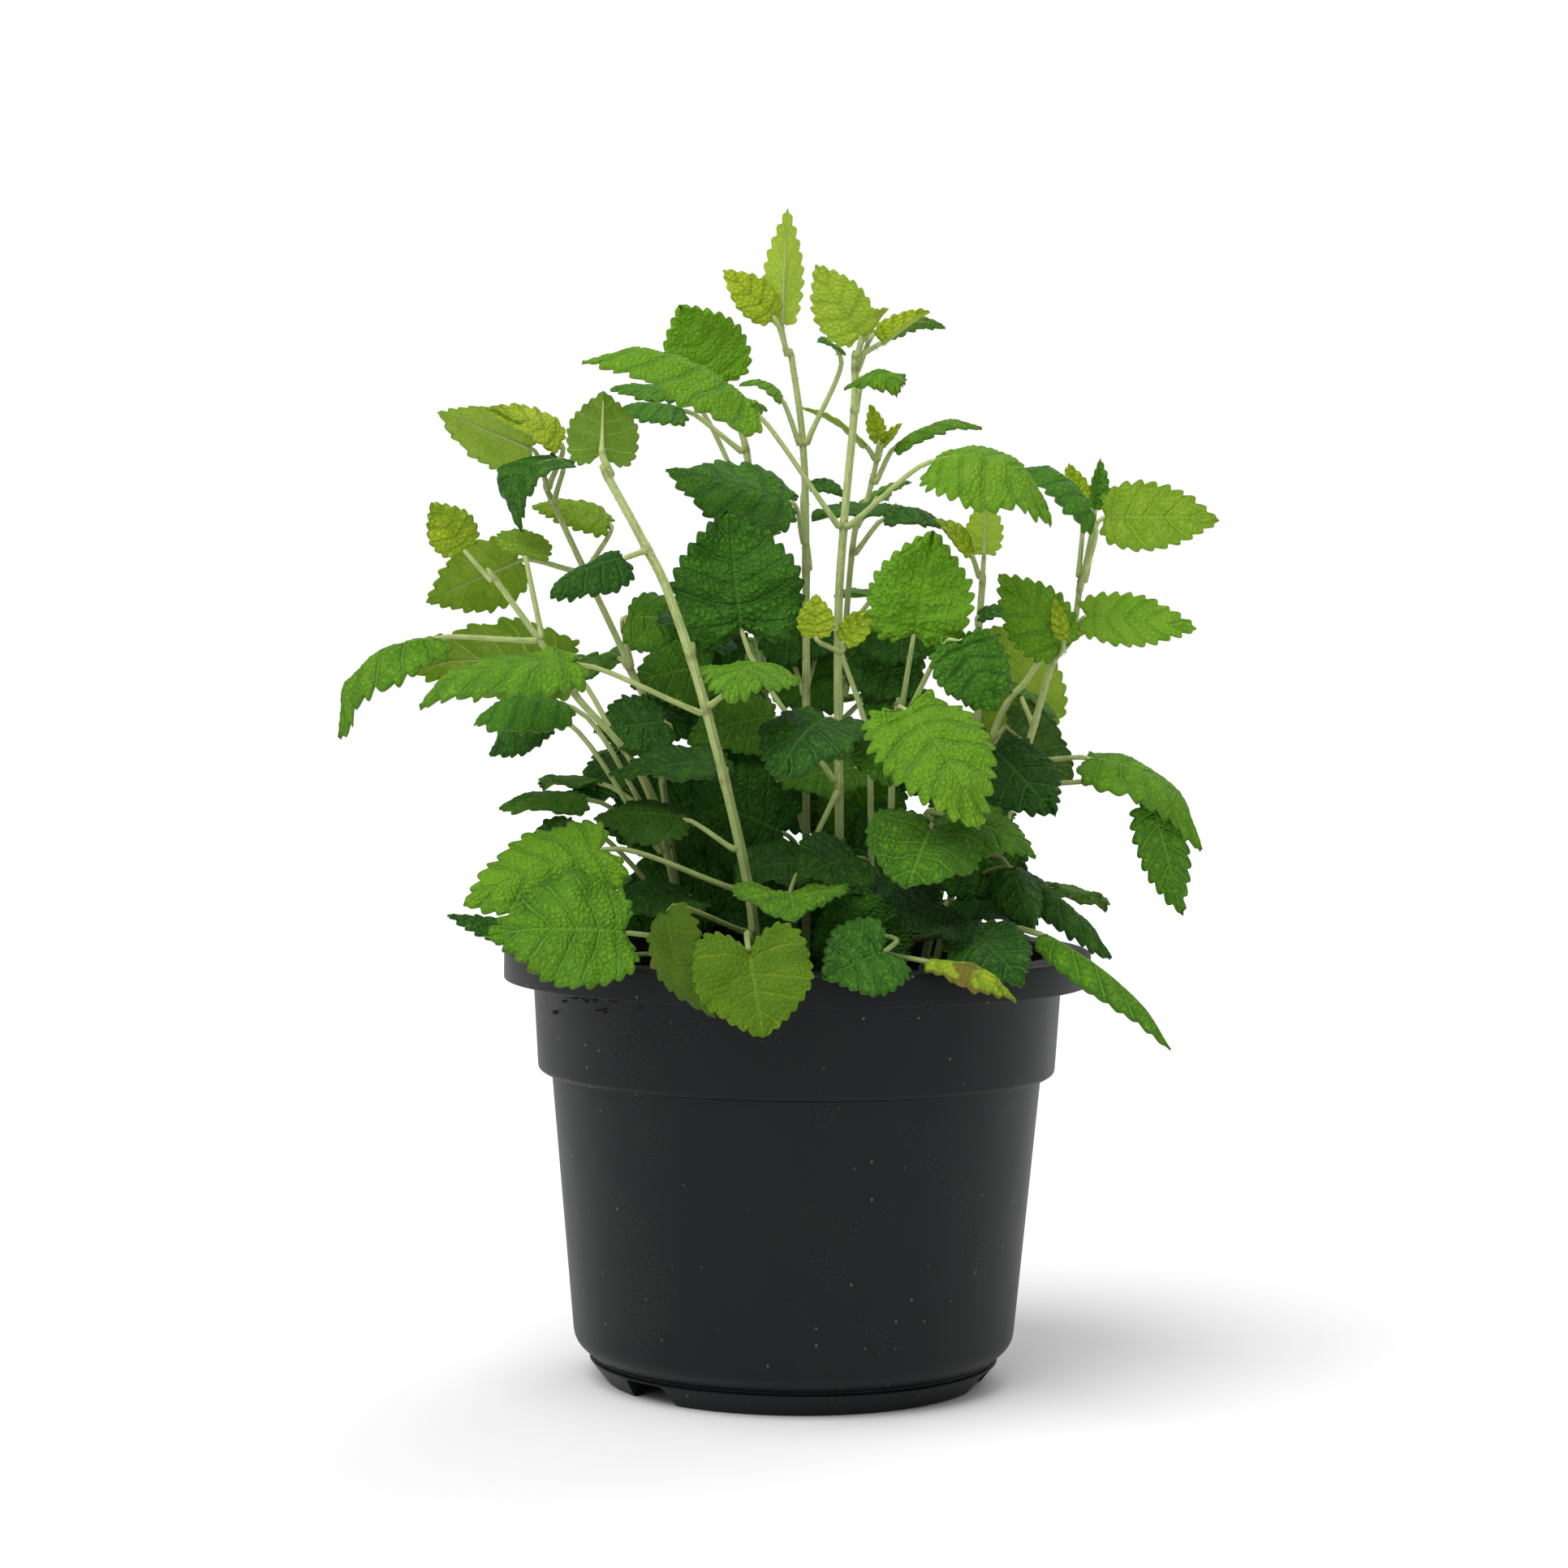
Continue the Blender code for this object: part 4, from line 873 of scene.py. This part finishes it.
def pot_profile():
    """(outer side from the rim down to the hub, inner side from the floor up to the rim).

    A corner is (radius, height, how far it is eased).
    """
    step_z = LIP_Z - BAND_HEIGHT
    band_low = BAND_TOP - BAND_DRAFT
    body_top = band_low - BAND_STEP
    foot_top = FOOT_RADIUS + FOOT_SET_IN
    foot_inner = FOOT_RADIUS - 2 * WALL
    groove_z = POT_HEIGHT - WALL
    outer = [
        (RIM_RADIUS, POT_HEIGHT, 0.0011),
        (RIM_RADIUS, LIP_Z, 0.0004),
        (RIM_RADIUS - WALL, LIP_Z, 0.0003),
        (RIM_RADIUS - WALL, groove_z, 0.0004),
        (BAND_TOP, groove_z - 0.0006, 0.0004),
        (band_low, step_z + 0.0008, 0.0012),
        (band_low - 0.0012, step_z, 0.0008),
        (body_top, step_z, 0.0006),
        (BASE_RADIUS, FOOT_HEIGHT + 0.0040, 0.0035),
        (foot_top - 0.0007, FOOT_HEIGHT + 0.0006, 0.0002),
        (foot_top + 0.0003, FOOT_HEIGHT, 0.0003),
        (FOOT_RADIUS, 0.0, 0.0006),
        (foot_inner, 0.0, 0.0004),
        (foot_inner, FLOOR_UNDERSIDE, 0.0004),
        (HUB_RADIUS, FLOOR_UNDERSIDE, 0.0003),
        (HUB_RADIUS, 0.0, 0.0004),
        (0.0, 0.0, 0.0),
    ]
    floor_z = FLOOR_UNDERSIDE + WALL
    inner = [
        (0.0, floor_z, 0.0),
        (foot_inner, floor_z, 0.0006),
        (foot_top - WALL, FOOT_HEIGHT + WALL, 0.0006),
        (BASE_RADIUS - WALL, FOOT_HEIGHT + 0.0050, 0.002),
        (body_top - WALL, step_z + WALL, 0.0006),
        (band_low - WALL, step_z + WALL + 0.001, 0.0006),
        (BAND_TOP - WALL, POT_HEIGHT, 0.0008),
    ]
    return outer, inner


def soil_height(x, y):
    """The height of the soil's gentle dome."""
    share = min(1.0, math.hypot(x, y) / SOIL_RADIUS)
    return POT_HEIGHT - SOIL_BELOW_RIM + SOIL_RISE * (0.5 - share * share)


def cut_through(obj, tools):
    """Cuts the tools out of the object's mesh for good."""
    for tool in tools:
        boolean = obj.modifiers.new("Cut", "BOOLEAN")
        boolean.operation = "DIFFERENCE"
        boolean.solver = "EXACT"
        boolean.object = tool
    graph = bpy.context.evaluated_depsgraph_get()
    cut_mesh = bpy.data.meshes.new_from_object(obj.evaluated_get(graph))
    obj.modifiers.clear()
    obj.data = cut_mesh
    for tool in tools:
        bpy.data.objects.remove(tool)


def around_pot(degrees, radius):
    return Matrix.Rotation(math.radians(degrees), 4, "Z") @ Matrix.Translation((radius, 0, 0))


def notch_tool(index):
    """A block across the foot ring, wider at the floor than at its top, with eased corners."""
    shape = bmesh.new()
    bmesh.ops.create_cube(shape, size=1)
    for vertex in shape.verts:
        top = vertex.co.z > 0
        vertex.co.x *= NOTCH_DEPTH
        vertex.co.y *= NOTCH_WIDTH * (NOTCH_TAPER if top else 1.0)
        vertex.co.z = NOTCH_HEIGHT if top else -0.002
    tops = [edge for edge in shape.edges if all(v.co.z > 0 for v in edge.verts)]
    bmesh.ops.bevel(shape, geom=tops, offset=0.0009, segments=3, affect="EDGES", profile=0.5, material=-1)
    place = around_pot(NOTCH_FIRST + 360 / NOTCH_COUNT * index, FOOT_RADIUS)
    bmesh.ops.transform(shape, matrix=place, verts=shape.verts)
    return meshed("notch_tool_%d" % index, shape)


def hole_tool(index):
    shape = bmesh.new()
    sizes = {"radius1": HOLE_RADIUS, "radius2": HOLE_RADIUS, "depth": 0.02}
    place = around_pot(HOLE_FIRST + 360 / HOLE_COUNT * index, HOLE_CIRCLE)
    bmesh.ops.create_cone(shape, cap_ends=True, segments=32, matrix=place, **sizes)
    return meshed("hole_tool_%d" % index, shape)


def dirt_on_pot(rng):
    """Soil crumbs caught under the rim's skirt, most of them towards the left front."""
    shape = new_shape()
    for _ in range(RIM_CRUMBS):
        turn = math.radians(rng.gauss(-137, 7) if rng.random() < 0.6 else rng.uniform(-180, 180))
        height = LIP_Z - abs(rng.gauss(0, 0.0022))
        radius = BAND_TOP - BAND_DRAFT * (LIP_Z - height) / BAND_HEIGHT
        crumb(shape, Vector((math.cos(turn) * radius, math.sin(turn) * radius, height)), rng, 0.00055)
    return shape


def crumb(shape, place, rng, size):
    """One rough lump of soil."""
    size *= rng.uniform(0.4, 1.0)
    matrix = Matrix.Translation(place) @ Matrix.Rotation(rng.uniform(0, math.tau), 4, (0.3, 0.5, 0.8))
    made = bmesh.ops.create_icosphere(shape, subdivisions=1, radius=size, matrix=matrix)["verts"]
    stretch = Vector((rng.uniform(0.6, 1.5), rng.uniform(0.6, 1.3), rng.uniform(0.5, 0.9)))
    for vertex in made:
        away = vertex.co - place
        away *= 1.0 + 0.5 * noise.noise(vertex.co * 2400)
        vertex.co = place + away * stretch


class BALM_OT_pot(bpy.types.Operator):
    """Build the moulded pot with its rim, band, step, foot ring, notches and drain holes"""

    bl_idname = "balm.pot"
    bl_label = "Pot"

    def execute(self, context):
        outer, inner = pot_profile()
        corners = [(radius, height) for radius, height, _ in outer + inner]
        sizes = [size for _, _, size in outer + inner]
        start = ((RIM_RADIUS + inner[-1][0]) / 2, POT_HEIGHT)
        profile = rounded([start, *corners, start], sizes)
        shape = spun(profile, context.scene.balm_pot.steps)
        obj = finished("pot_shell", shape, [plastic_finish()], "pot_plastic", ["pot"])
        notches = [notch_tool(index) for index in range(NOTCH_COUNT)]
        cut_through(obj, notches + [hole_tool(index) for index in range(HOLE_COUNT)])
        obj.data.set_sharp_from_angle(angle=math.radians(50))
        finished("rim_dirt", dirt_on_pot(random.Random(4)), [soil_finish()], "potting_soil")
        return {"FINISHED"}


class BALM_OT_soil(bpy.types.Operator):
    """Build the bed of potting soil and the loose crumbs on it"""

    bl_idname = "balm.soil"
    bl_label = "Soil"

    def execute(self, context):
        inner = pot_profile()[1]
        sides = [(radius - SOIL_FROM_WALL, height + SOIL_FROM_WALL) for radius, height, _ in inner[1:6]]
        reaches = [SOIL_RADIUS * (1 - index / SOIL_RINGS) for index in range(SOIL_RINGS + 1)]
        top = [(reach, soil_height(reach, 0)) for reach in reaches]
        profile = [(0.0, inner[0][1] + SOIL_FROM_WALL), *sides, *top]
        shape = spun(profile, SOIL_STEPS)
        for vertex in shape.verts:
            reach = math.hypot(vertex.co.x, vertex.co.y)
            if vertex.co.z < POT_HEIGHT - SOIL_BELOW_RIM - 0.003:
                continue
            calm = 1.0 - eased(reach, SOIL_RADIUS * 0.94, SOIL_RADIUS)
            lumps = noise.fractal(vertex.co * 150, 1.0, 2.0, 4) * 0.0016
            grit = noise.noise(vertex.co * 900) * 0.0005
            vertex.co.z += (lumps + grit) * calm
        finished("soil_bed", shape, [soil_finish()], "potting_soil", ["potting_soil"])
        rng = random.Random(11)
        loose = new_shape()
        for _ in range(context.scene.balm_pot.crumbs):
            reach = SOIL_RADIUS * 0.97 * math.sqrt(rng.random())
            turn = rng.uniform(0, math.tau)
            x, y = math.cos(turn) * reach, math.sin(turn) * reach
            place = Vector((x, y, soil_height(x, y) + rng.uniform(-0.0003, 0.0006)))
            crumb(loose, place, rng, rng.choice((0.0008, 0.0011, 0.0018)))
        finished("soil_crumbs", loose, [soil_finish()], "potting_soil")
        return {"FINISHED"}


# ---------------------------------------------------------------- plant


def placed(point):
    """A table point as a place in the world: up to the rim the plant follows the pot."""
    x, y, z = point
    reach = math.hypot(x, y)
    inside = min(reach, TABLE_RIM)
    outside = reach - inside
    grown = inside * RIM_RADIUS / TABLE_RIM + outside * LEAF_REACH / TABLE_REACH
    share = grown / reach if reach > 0 else 0.0
    rise = z * (PLANT_HEIGHT / TABLE_HEIGHT if z > 0 else MM)
    return Vector((x * share, y * share, POT_HEIGHT + rise))


def stem_curve(name):
    """The stem's line in the table, from its foot on the soil."""
    foot, *rest = STEMS[name][1]
    world = placed((*foot, 0))
    ground = (soil_height(world.x, world.y) - POT_HEIGHT) / MM
    return curve_through([Vector((*foot, ground)), *map(Vector, rest)], SPAN_POINTS)


def point_on_stem(name, height):
    """(point, direction, radius) where the stem passes a table height."""
    line = stem_curve(name)
    last = len(line) - 2
    index = next((index for index in range(last) if height <= line[index + 1].z), last)
    low, high = line[index : index + 2]
    share = (height - low.z) / (high.z - low.z)
    radius = STEMS[name][0] * (1.0 - STEM_TAPER * (index + share) / (len(line) - 1))
    return low.lerp(high, share), (high - low).normalized(), radius


def outline(s, notch):
    """(distance along the midrib, half width) of the edge, as shares, for s from base to tip."""
    back = notch * math.sin(math.pi * (s / 0.35) ** 0.6) if s < 0.35 else 0.0
    fullness = 0.72 - 0.3 * min(0.3, notch)
    power = 0.70 + 1.3 * notch * max(0.0, 1.0 - 3.0 * s) + 0.30 * s * (1.0 - 2.0 * notch)
    return s - back, math.sin(math.pi * s**fullness) ** power if 0 < s < 1 else 0.0


def even_steps(leaf, length, count):
    """Values of s that are evenly spaced along the blade's edge, and the edge's length."""
    samples = 300
    edge = []
    for index in range(samples + 1):
        along, side = outline(index / samples, leaf.notch)
        edge.append(Vector((along * length, side * leaf.width / 2)))
    run = [0.0]
    for a, b in zip(edge, edge[1:]):
        run.append(run[-1] + (b - a).length)
    steps = []
    index = 0
    for step in range(count + 1):
        goal = run[-1] * step / count
        while index < samples - 1 and run[index + 1] < goal:
            index += 1
        part = (goal - run[index]) / (run[index + 1] - run[index])
        steps.append((index + part) / samples)
    return steps, run[-1]


def blade_frame(leaf):
    """(base, axis, across, up, length) of a blade in the table."""
    base = Vector(leaf.base)
    axis = Vector(leaf.tip) - base
    length = axis.length
    axis.normalize()
    face = Vector(leaf.face)
    up = (face - axis * face.dot(axis)).normalized()
    return base, axis, axis.cross(up), up, length


def stalk_curve(leaf, frame, start, stem_way, reach):
    """Points of the leaf stalk from inside the stem to the blade."""
    base, axis, across, up, _ = frame
    heading = (axis + up * 4 * leaf.bow).normalized()
    way = base - start
    outward = way - stem_way * way.dot(stem_way)
    if outward.length < 0.75:
        outward = across.copy()
    outward.normalize()
    begin = start + outward * reach
    way = base - begin
    points = [start + outward * reach * 0.2]
    for index in range(STALK_POINTS):
        u = index / STALK_POINTS
        gone = 3 * u**2 - 2 * u**3
        leaning = way * (u**3 - 2 * u**2 + u) + heading * way.length * 0.7 * (u**3 - u**2)
        points.append(begin * (1 - gone) + base * gone + leaning)
    return points


class Blade:
    """The curved sheet of one leaf, in table millimetres."""

    def __init__(self, leaf, plant):
        look = look_of(leaf)
        leaf = leaf._replace(width=leaf.width * look.slim, fold=leaf.fold * look.flat)
        self.leaf = leaf
        self.look = look
        self.frame = blade_frame(leaf)
        self.length = self.frame[4]
        self.seed = leaf_seed(leaf.name)
        self.rng = random.Random(self.seed)
        pitch = 1.3 + 0.07 * self.length
        edge = even_steps(leaf, self.length, 4)[1]
        self.teeth = max(5, round(edge / pitch))
        self.depth = plant.tooth * edge / self.teeth * look.tooth
        coarse = leaf.name.startswith("small") and leaf.width > COARSE_OVER
        rows_to_tooth, cell = COARSE_GRID if coarse else FINE_GRID
        self.rows = self.teeth * rows_to_tooth
        self.steps = even_steps(leaf, self.length, self.rows)[0]
        self.half = max(6, round(leaf.width / 2 / cell))
        self.pairs = 6 if self.length > 22 else 5
        self.puff = plant.puff * look.puff * (0.55 + 0.45 * min(1.0, leaf.width / 20))
        self.phase = self.rng.uniform(0.0, 0.5), self.rng.uniform(0.0, 0.5)
        self.wave = self.rng.uniform(-1, 1), self.rng.uniform(-1, 1)

    def tooth(self, share, side):
        """How far a tooth stands out at a share of the edge."""
        turn = share * self.teeth + self.phase[side > 0]
        wobble = 0.75 + 0.5 * noise.noise(Vector((turn // 1 * 3.7, self.seed, side)))
        shape = math.sin(math.pi * (turn % 1.0) ** 1.6) ** 0.7
        ends = eased(share, 0.03, 0.10) * (1.0 - eased(share, 0.93, 0.99))
        return self.depth * (shape - 0.55) * ends * wobble

    def veins(self, s, t):
        return self.pairs * (max(s, 0.0) ** 0.77 - 0.13 * abs(t))

    def swelling(self, s, t, along, side):
        """0 in the veins to 1 on the cushions between them."""
        run = self.veins(s, t) % 1.0
        ribs = math.sin(math.pi * run) ** 0.55
        middle = eased(abs(t), 0.0, 0.10)
        spot = Vector((along * 0.72, side * 0.72, self.seed * 3.1))
        spot += Vector((noise.noise(spot), noise.noise(spot + Vector((9, 9, 9))), 0)) * 0.35
        near = noise.voronoi(spot)[0]
        cushion = eased(near[1] - near[0], 0.0, 0.45)
        return min(ribs, 1.0) * (0.35 + 0.65 * cushion) * middle

    def toothed(self, row, t):
        """How far the teeth move a point along the blade, as a share of its length, and across it."""
        leaf = self.leaf
        before = outline(self.steps[max(row - 2, 0)], leaf.notch)
        after = outline(self.steps[min(row + 2, self.rows)], leaf.notch)
        run = (after[0] - before[0]) * self.length
        tangent = Vector((run, (after[1] - before[1]) * leaf.width / 2)).normalized()
        out = self.tooth(row / self.rows, t) * eased(abs(t), EDGE_START, 1.0)
        along = (-tangent.y + TOOTH_LEAN * tangent.x) * out / self.length
        return along, (tangent.x + TOOTH_LEAN * tangent.y) * out * (1 if t > 0 else -1)

    def point(self, row, t):
        """(place, veins, cells, puff) for a row of the blade and t from -1 to 1."""
        leaf = self.leaf
        base, axis, across, up, length = self.frame
        s = self.steps[row]
        share = row / self.rows
        edge_along, edge_side = outline(s, leaf.notch)
        along = s**1.2 * (1 - abs(t)) + edge_along * abs(t)
        side = edge_side * t * leaf.width / 2
        if abs(t) > EDGE_START:
            more_along, more_side = self.toothed(row, t)
            along += more_along
            side += more_side
        fold = math.radians(leaf.fold)
        crease = abs(t) ** (0.5 if fold < 0 else 0.15)
        mid = max(0.0, min(1.0, along))
        rise = leaf.bow * 4 * mid * (1 - mid) * length + math.sin(fold) * abs(side) * crease
        swell = self.swelling(s, t, along * length, side)
        calm = (1.0 - eased(abs(t), 0.86, 1.0)) * eased(s, 0.0, 0.06) * (1.0 - eased(s, 0.93, 1.0))
        rise += self.puff * swell * calm
        spot = Vector((along * length * 0.13, side * 0.13, self.seed * 1.7))
        rise += self.look.wavy * noise.noise(spot) * 0.10 * leaf.width * eased(abs(t), 0.0, 0.5)
        run = self.veins(s, t)
        frill = math.cos(math.tau * run) * 0.45 + self.wave[t > 0] * math.sin(math.tau * share * 1.4)
        rise += self.look.wavy * frill * eased(abs(t), 0.45, 1.0) * 0.035 * leaf.width * eased(s, 0.0, 0.2)
        rise -= self.look.tip * eased(s, 0.72, 1.0) * 0.10 * length
        place = base + axis * along * length + across * math.cos(fold) * side + up * rise
        # The tone carries the leaf's own lightness with its painted shade and light, and a little random
        # change.
        tone = self.look.tone + 0.25 * noise.noise(spot * 2.0)
        veins = Vector((run, abs(t), tone))
        cells = Vector((along * length * 0.85 + self.seed, side * 0.85, self.look.wear))
        return place, veins, cells, swell * calm


def add_leaf(shape, leaf):
    """One leaf with its stalk: a toothed, quilted sheet over a stalk that runs on as its midrib."""
    plant = bpy.context.scene.balm_plant
    start, stem_way, reach = point_on_stem("stem_%d" % leaf.stem, leaf.node)
    blade = Blade(leaf, plant)
    veins = shape.verts.layers.float_vector["veins"]
    cells = shape.verts.layers.float_vector["cells"]
    puff = shape.verts.layers.float["puff"]
    old_verts, old_faces = set(shape.verts), set(shape.faces)
    bmesh.ops.create_grid(shape, x_segments=blade.rows, y_segments=2 * blade.half, size=1)
    top = [face for face in shape.faces if face not in old_faces]
    bmesh.ops.solidify(shape, geom=top, thickness=1.0)
    for face in shape.faces:
        if face not in old_faces:
            face.material_index = UNDER
    for face in top:
        face.material_index = UPPER
    sheet = [vertex for vertex in shape.verts if vertex not in old_verts]
    up = blade.frame[3]
    points = {}
    for vertex in sheet:
        row = round((vertex.co.x + 1) / 2 * blade.rows)
        column = round(vertex.co.y * blade.half)
        if (row, column) not in points:
            t = math.copysign(abs(column / blade.half) ** 0.92, -column)
            points[row, column] = blade.point(row, t)
        place, vertex[veins], vertex[cells], vertex[puff] = points[row, column]
        depth = plant.thickness if vertex.co.z < -0.5 else 0.0
        vertex.co = placed(place - up * depth)
    bmesh.ops.remove_doubles(shape, verts=sheet, dist=0.000004)
    thick = blade.look.stalk
    stalk = stalk_curve(leaf, blade.frame, start, stem_way, reach)
    rib = []
    for index in range(RIB_POINTS):
        row = round(index / RIB_POINTS * blade.rows * 0.93)
        size = thick * (0.80 - 0.62 * index / RIB_POINTS)
        rib.append(blade.point(row, 0.0)[0] - up * (size * 0.95 + 0.06))
    stalk[-1] = stalk[-1].lerp(rib[0], 0.5)
    points = [placed(point) for point in stalk + rib]
    count = len(points) - 1
    joint = len(stalk) / count

    def section(share, angle):
        if share < joint:
            size = thick * (1.0 - 0.2 * share / joint + 0.35 * (1 - eased(share, 0, 0.12)))
        else:
            size = thick * (0.80 - 0.62 * (share - joint) / (1 - joint))
        groove = 1.0 - 0.14 * max(0.0, math.sin(angle)) ** 4
        return size * groove * MM

    run = sum((b - a).length for a, b in zip(points, points[1:])) / MM
    tube(
        shape, framed(points), section, count, 10, SKIN,
        lambda share, around: (share * run, around, 0.5 * (1 - eased(share, 0, 0.1))),
    )
    rng = blade.rng
    for _ in range(round(len(stalk) * 3 * thick)):
        index = rng.randrange(2, len(stalk) + 3)
        spot = points[index].lerp(points[index + 1], rng.random())
        tangent = (points[index + 1] - points[index]).normalized()
        way = tangent.cross(Vector((rng.gauss(0, 1), rng.gauss(0, 1), rng.gauss(0, 1)))).normalized()
        root = spot + way * thick * 0.75 * MM
        way = (way + tangent * rng.uniform(-0.3, 0.5)).normalized()
        hair(shape, root, way, rng.uniform(0.0004, 0.0010), SKIN)


def look_of(leaf):
    """A leaf's own look, or the usual one: deeper in the shade of the middle."""
    return Look(*LOOKS.get(leaf.name.split("_")[1], (0.15 if leaf.base[1] < 15 else 0.5,)))


def leaf_seed(name):
    """A number of its own for each leaf name."""
    return sum((index + 1) * ord(letter) for index, letter in enumerate(name)) % 997


def leaf_piece(name, leaves, nodes=()):
    """Leaves of one colour as a piece of the object."""
    shape = new_shape()
    for leaf in leaves:
        add_leaf(shape, leaf)
    colour = leaves[0].colour
    finishes = [leaf_finish(colour, False), leaf_finish(colour, True), stem_finish()]
    finished(name, shape, finishes, "leaf_" + colour, nodes)


class BALM_OT_leaves(bpy.types.Operator):
    """Build the large leaves, each with its own stalk"""

    bl_idname = "balm.leaves"
    bl_label = "Leaves"

    def execute(self, context):
        for leaf in LEAVES:
            leaf_piece(leaf.name + "_blade", [leaf], [leaf.name])
        return {"FINISHED"}


class BALM_OT_small_leaves(bpy.types.Operator):
    """Build the young tip leaves, side shoots and shaded inner leaves of every stem"""

    bl_idname = "balm.small_leaves"
    bl_label = "Small Leaves"

    def execute(self, context):
        groups = {}
        for leaf in SMALL_LEAVES:
            groups.setdefault((leaf.stem, leaf.colour), []).append(leaf)
        for key, leaves in sorted(groups.items()):
            leaf_piece("small_leaves_%d_%s" % key, leaves)
        return {"FINISHED"}


class BALM_OT_stems(bpy.types.Operator):
    """Build the square stems with their swollen nodes and fine hairs"""

    bl_idname = "balm.stems"
    bl_label = "Stems"

    def execute(self, context):
        for name in STEMS:
            self.build(name, context.scene.balm_plant)
        return {"FINISHED"}

    def build(self, name, plant):
        line = stem_curve(name)
        sunk = line[0] - (line[1] - line[0]).normalized() * STEM_SUNK
        line = [sunk, *line]
        points = [placed(point) for point in line]
        count = len(points) - 1
        number = int(name.split("_")[1])
        nodes = sorted({leaf.node for leaf in LEAVES + SMALL_LEAVES if leaf.stem == number})
        base_radius = STEMS[name][0]
        shape = new_shape()

        def joint(share):
            height = line[round(share * count)].z
            return max((math.exp(-(((height - node) / 1.2) ** 2)) for node in nodes), default=0.0)

        def section(share, angle):
            taper = 1.0 - STEM_TAPER * share
            end = 1.0 - 0.45 * eased(share, 0.97, 1.0)
            square = 0.80 + 0.12 * math.cos(4 * angle)
            return base_radius * plant.stem * taper * end * (square + 0.13 * joint(share)) * MM

        run = sum((b - a).length for a, b in zip(points, points[1:])) / MM
        path = framed(points)
        tube(shape, path, section, count, 24, 0, lambda share, around: (share * run, around, joint(share)))
        rng = random.Random(number)
        for _ in range(plant.hairs):
            share = rng.uniform(0.1, 0.99)
            centre, across, up = path(share)
            angle = rng.uniform(0, math.tau)
            out = across * math.cos(angle) + up * math.sin(angle)
            root = centre + out * section(share, angle)
            way = (out + across.cross(up) * rng.uniform(-0.5, 0.5)).normalized()
            hair(shape, root, way, rng.uniform(0.0004, 0.0009), 0)
        finished(name + "_skin", shape, [stem_finish()], "stem_green", [name])


# ---------------------------------------------------------------- stage


CAMERA_LENS = 82.9
CAMERA_PLACE = (-0.0034, -0.800, 0.166)
CAMERA_TILT = 87.58
CAMERA_ROLL = 0.6


def soft_light(name, way, spread, strength):
    """An even light from far off, soft enough to give no hard shadow edge."""
    light = bpy.data.lights.new(name, "SUN")
    light.angle = math.radians(spread)
    light.energy = strength
    obj = linked(name, light)
    obj.location = Vector(way) * 2
    obj.rotation_euler = Vector(way).to_track_quat("Z", "Y").to_euler()


def surround(scene, strength):
    """A white surround that lights the plant less than it shows behind it."""
    world = scene.world or bpy.data.worlds.new("surround")
    scene.world = world
    world.use_nodes = True
    tree = world.node_tree
    background = tree.nodes["Background"]
    background.inputs["Color"].default_value = (1, 1, 1, 1)
    ray = tree.nodes.new("ShaderNodeLightPath")
    level = tree.nodes.new("ShaderNodeMapRange")
    level.inputs["To Min"].default_value = strength
    level.inputs["To Max"].default_value = 1.0
    tree.links.new(ray.outputs["Is Camera Ray"], level.inputs["Value"])
    tree.links.new(level.outputs["Result"], background.inputs["Strength"])


class BALM_OT_stage(bpy.types.Operator):
    """Build the plain floor, the soft lights and the camera"""

    bl_idname = "balm.stage"
    bl_label = "Stage"

    def execute(self, context):
        scene = context.scene
        settings = scene.balm_stage
        shape = bmesh.new()
        bmesh.ops.create_grid(shape, x_segments=8, y_segments=8, size=4)
        floor = meshed("floor", shape, [floor_finish()])
        soft_light("upper_light", (-0.40, -0.50, 1.0), 50, settings.key)
        soft_light("back_light", (0.55, 0.80, 1.0), 40, settings.key * 0.30)
        surround(scene, settings.sky)
        camera = bpy.data.cameras.new("camera")
        camera.lens = CAMERA_LENS
        camera.sensor_width = 36
        camera.clip_start = 0.01
        stand = linked("camera", camera)
        stand.location = CAMERA_PLACE
        aim = Matrix.Rotation(math.radians(CAMERA_TILT), 4, "X")
        stand.rotation_euler = (aim @ Matrix.Rotation(math.radians(CAMERA_ROLL), 4, "Z")).to_euler()
        scene.camera = stand
        scene.view_settings.view_transform = "Standard"
        scene.view_settings.look = "None"
        return {"FINISHED"}


class BALM_PT_panel(bpy.types.Panel):
    """The pieces of the plant and their settings"""

    bl_label = "Potted Lemon Balm"
    bl_idname = "BALM_PT_panel"
    bl_space_type = "VIEW_3D"
    bl_region_type = "UI"
    bl_category = "Lemon Balm"

    def draw(self, context):
        for operator in OPERATORS:
            self.layout.operator(operator.bl_idname)
        for name, group in SETTINGS.items():
            box = self.layout.box()
            for key in group.__annotations__:
                box.prop(getattr(context.scene, name), key)


OPERATORS = (BALM_OT_stage, BALM_OT_pot, BALM_OT_soil, BALM_OT_stems, BALM_OT_leaves, BALM_OT_small_leaves)
SETTINGS = {
    "balm_pot": PotSettings,
    "balm_plant": PlantSettings,
    "balm_colours": LeafColours,
    "balm_stage": StageSettings,
}
CLASSES = (*SETTINGS.values(), *OPERATORS, BALM_PT_panel)
register_classes, unregister_classes = bpy.utils.register_classes_factory(CLASSES)


def register():
    register_classes()
    for name, group in SETTINGS.items():
        setattr(bpy.types.Scene, name, PointerProperty(type=group))


def unregister():
    for name in SETTINGS:
        delattr(bpy.types.Scene, name)
    unregister_classes()


def main():
    register()
    bpy.ops.balm.stage()
    bpy.ops.balm.pot()
    bpy.ops.balm.soil()
    bpy.ops.balm.stems()
    bpy.ops.balm.leaves()
    bpy.ops.balm.small_leaves()
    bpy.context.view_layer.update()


if __name__ == "__main__":
    main()
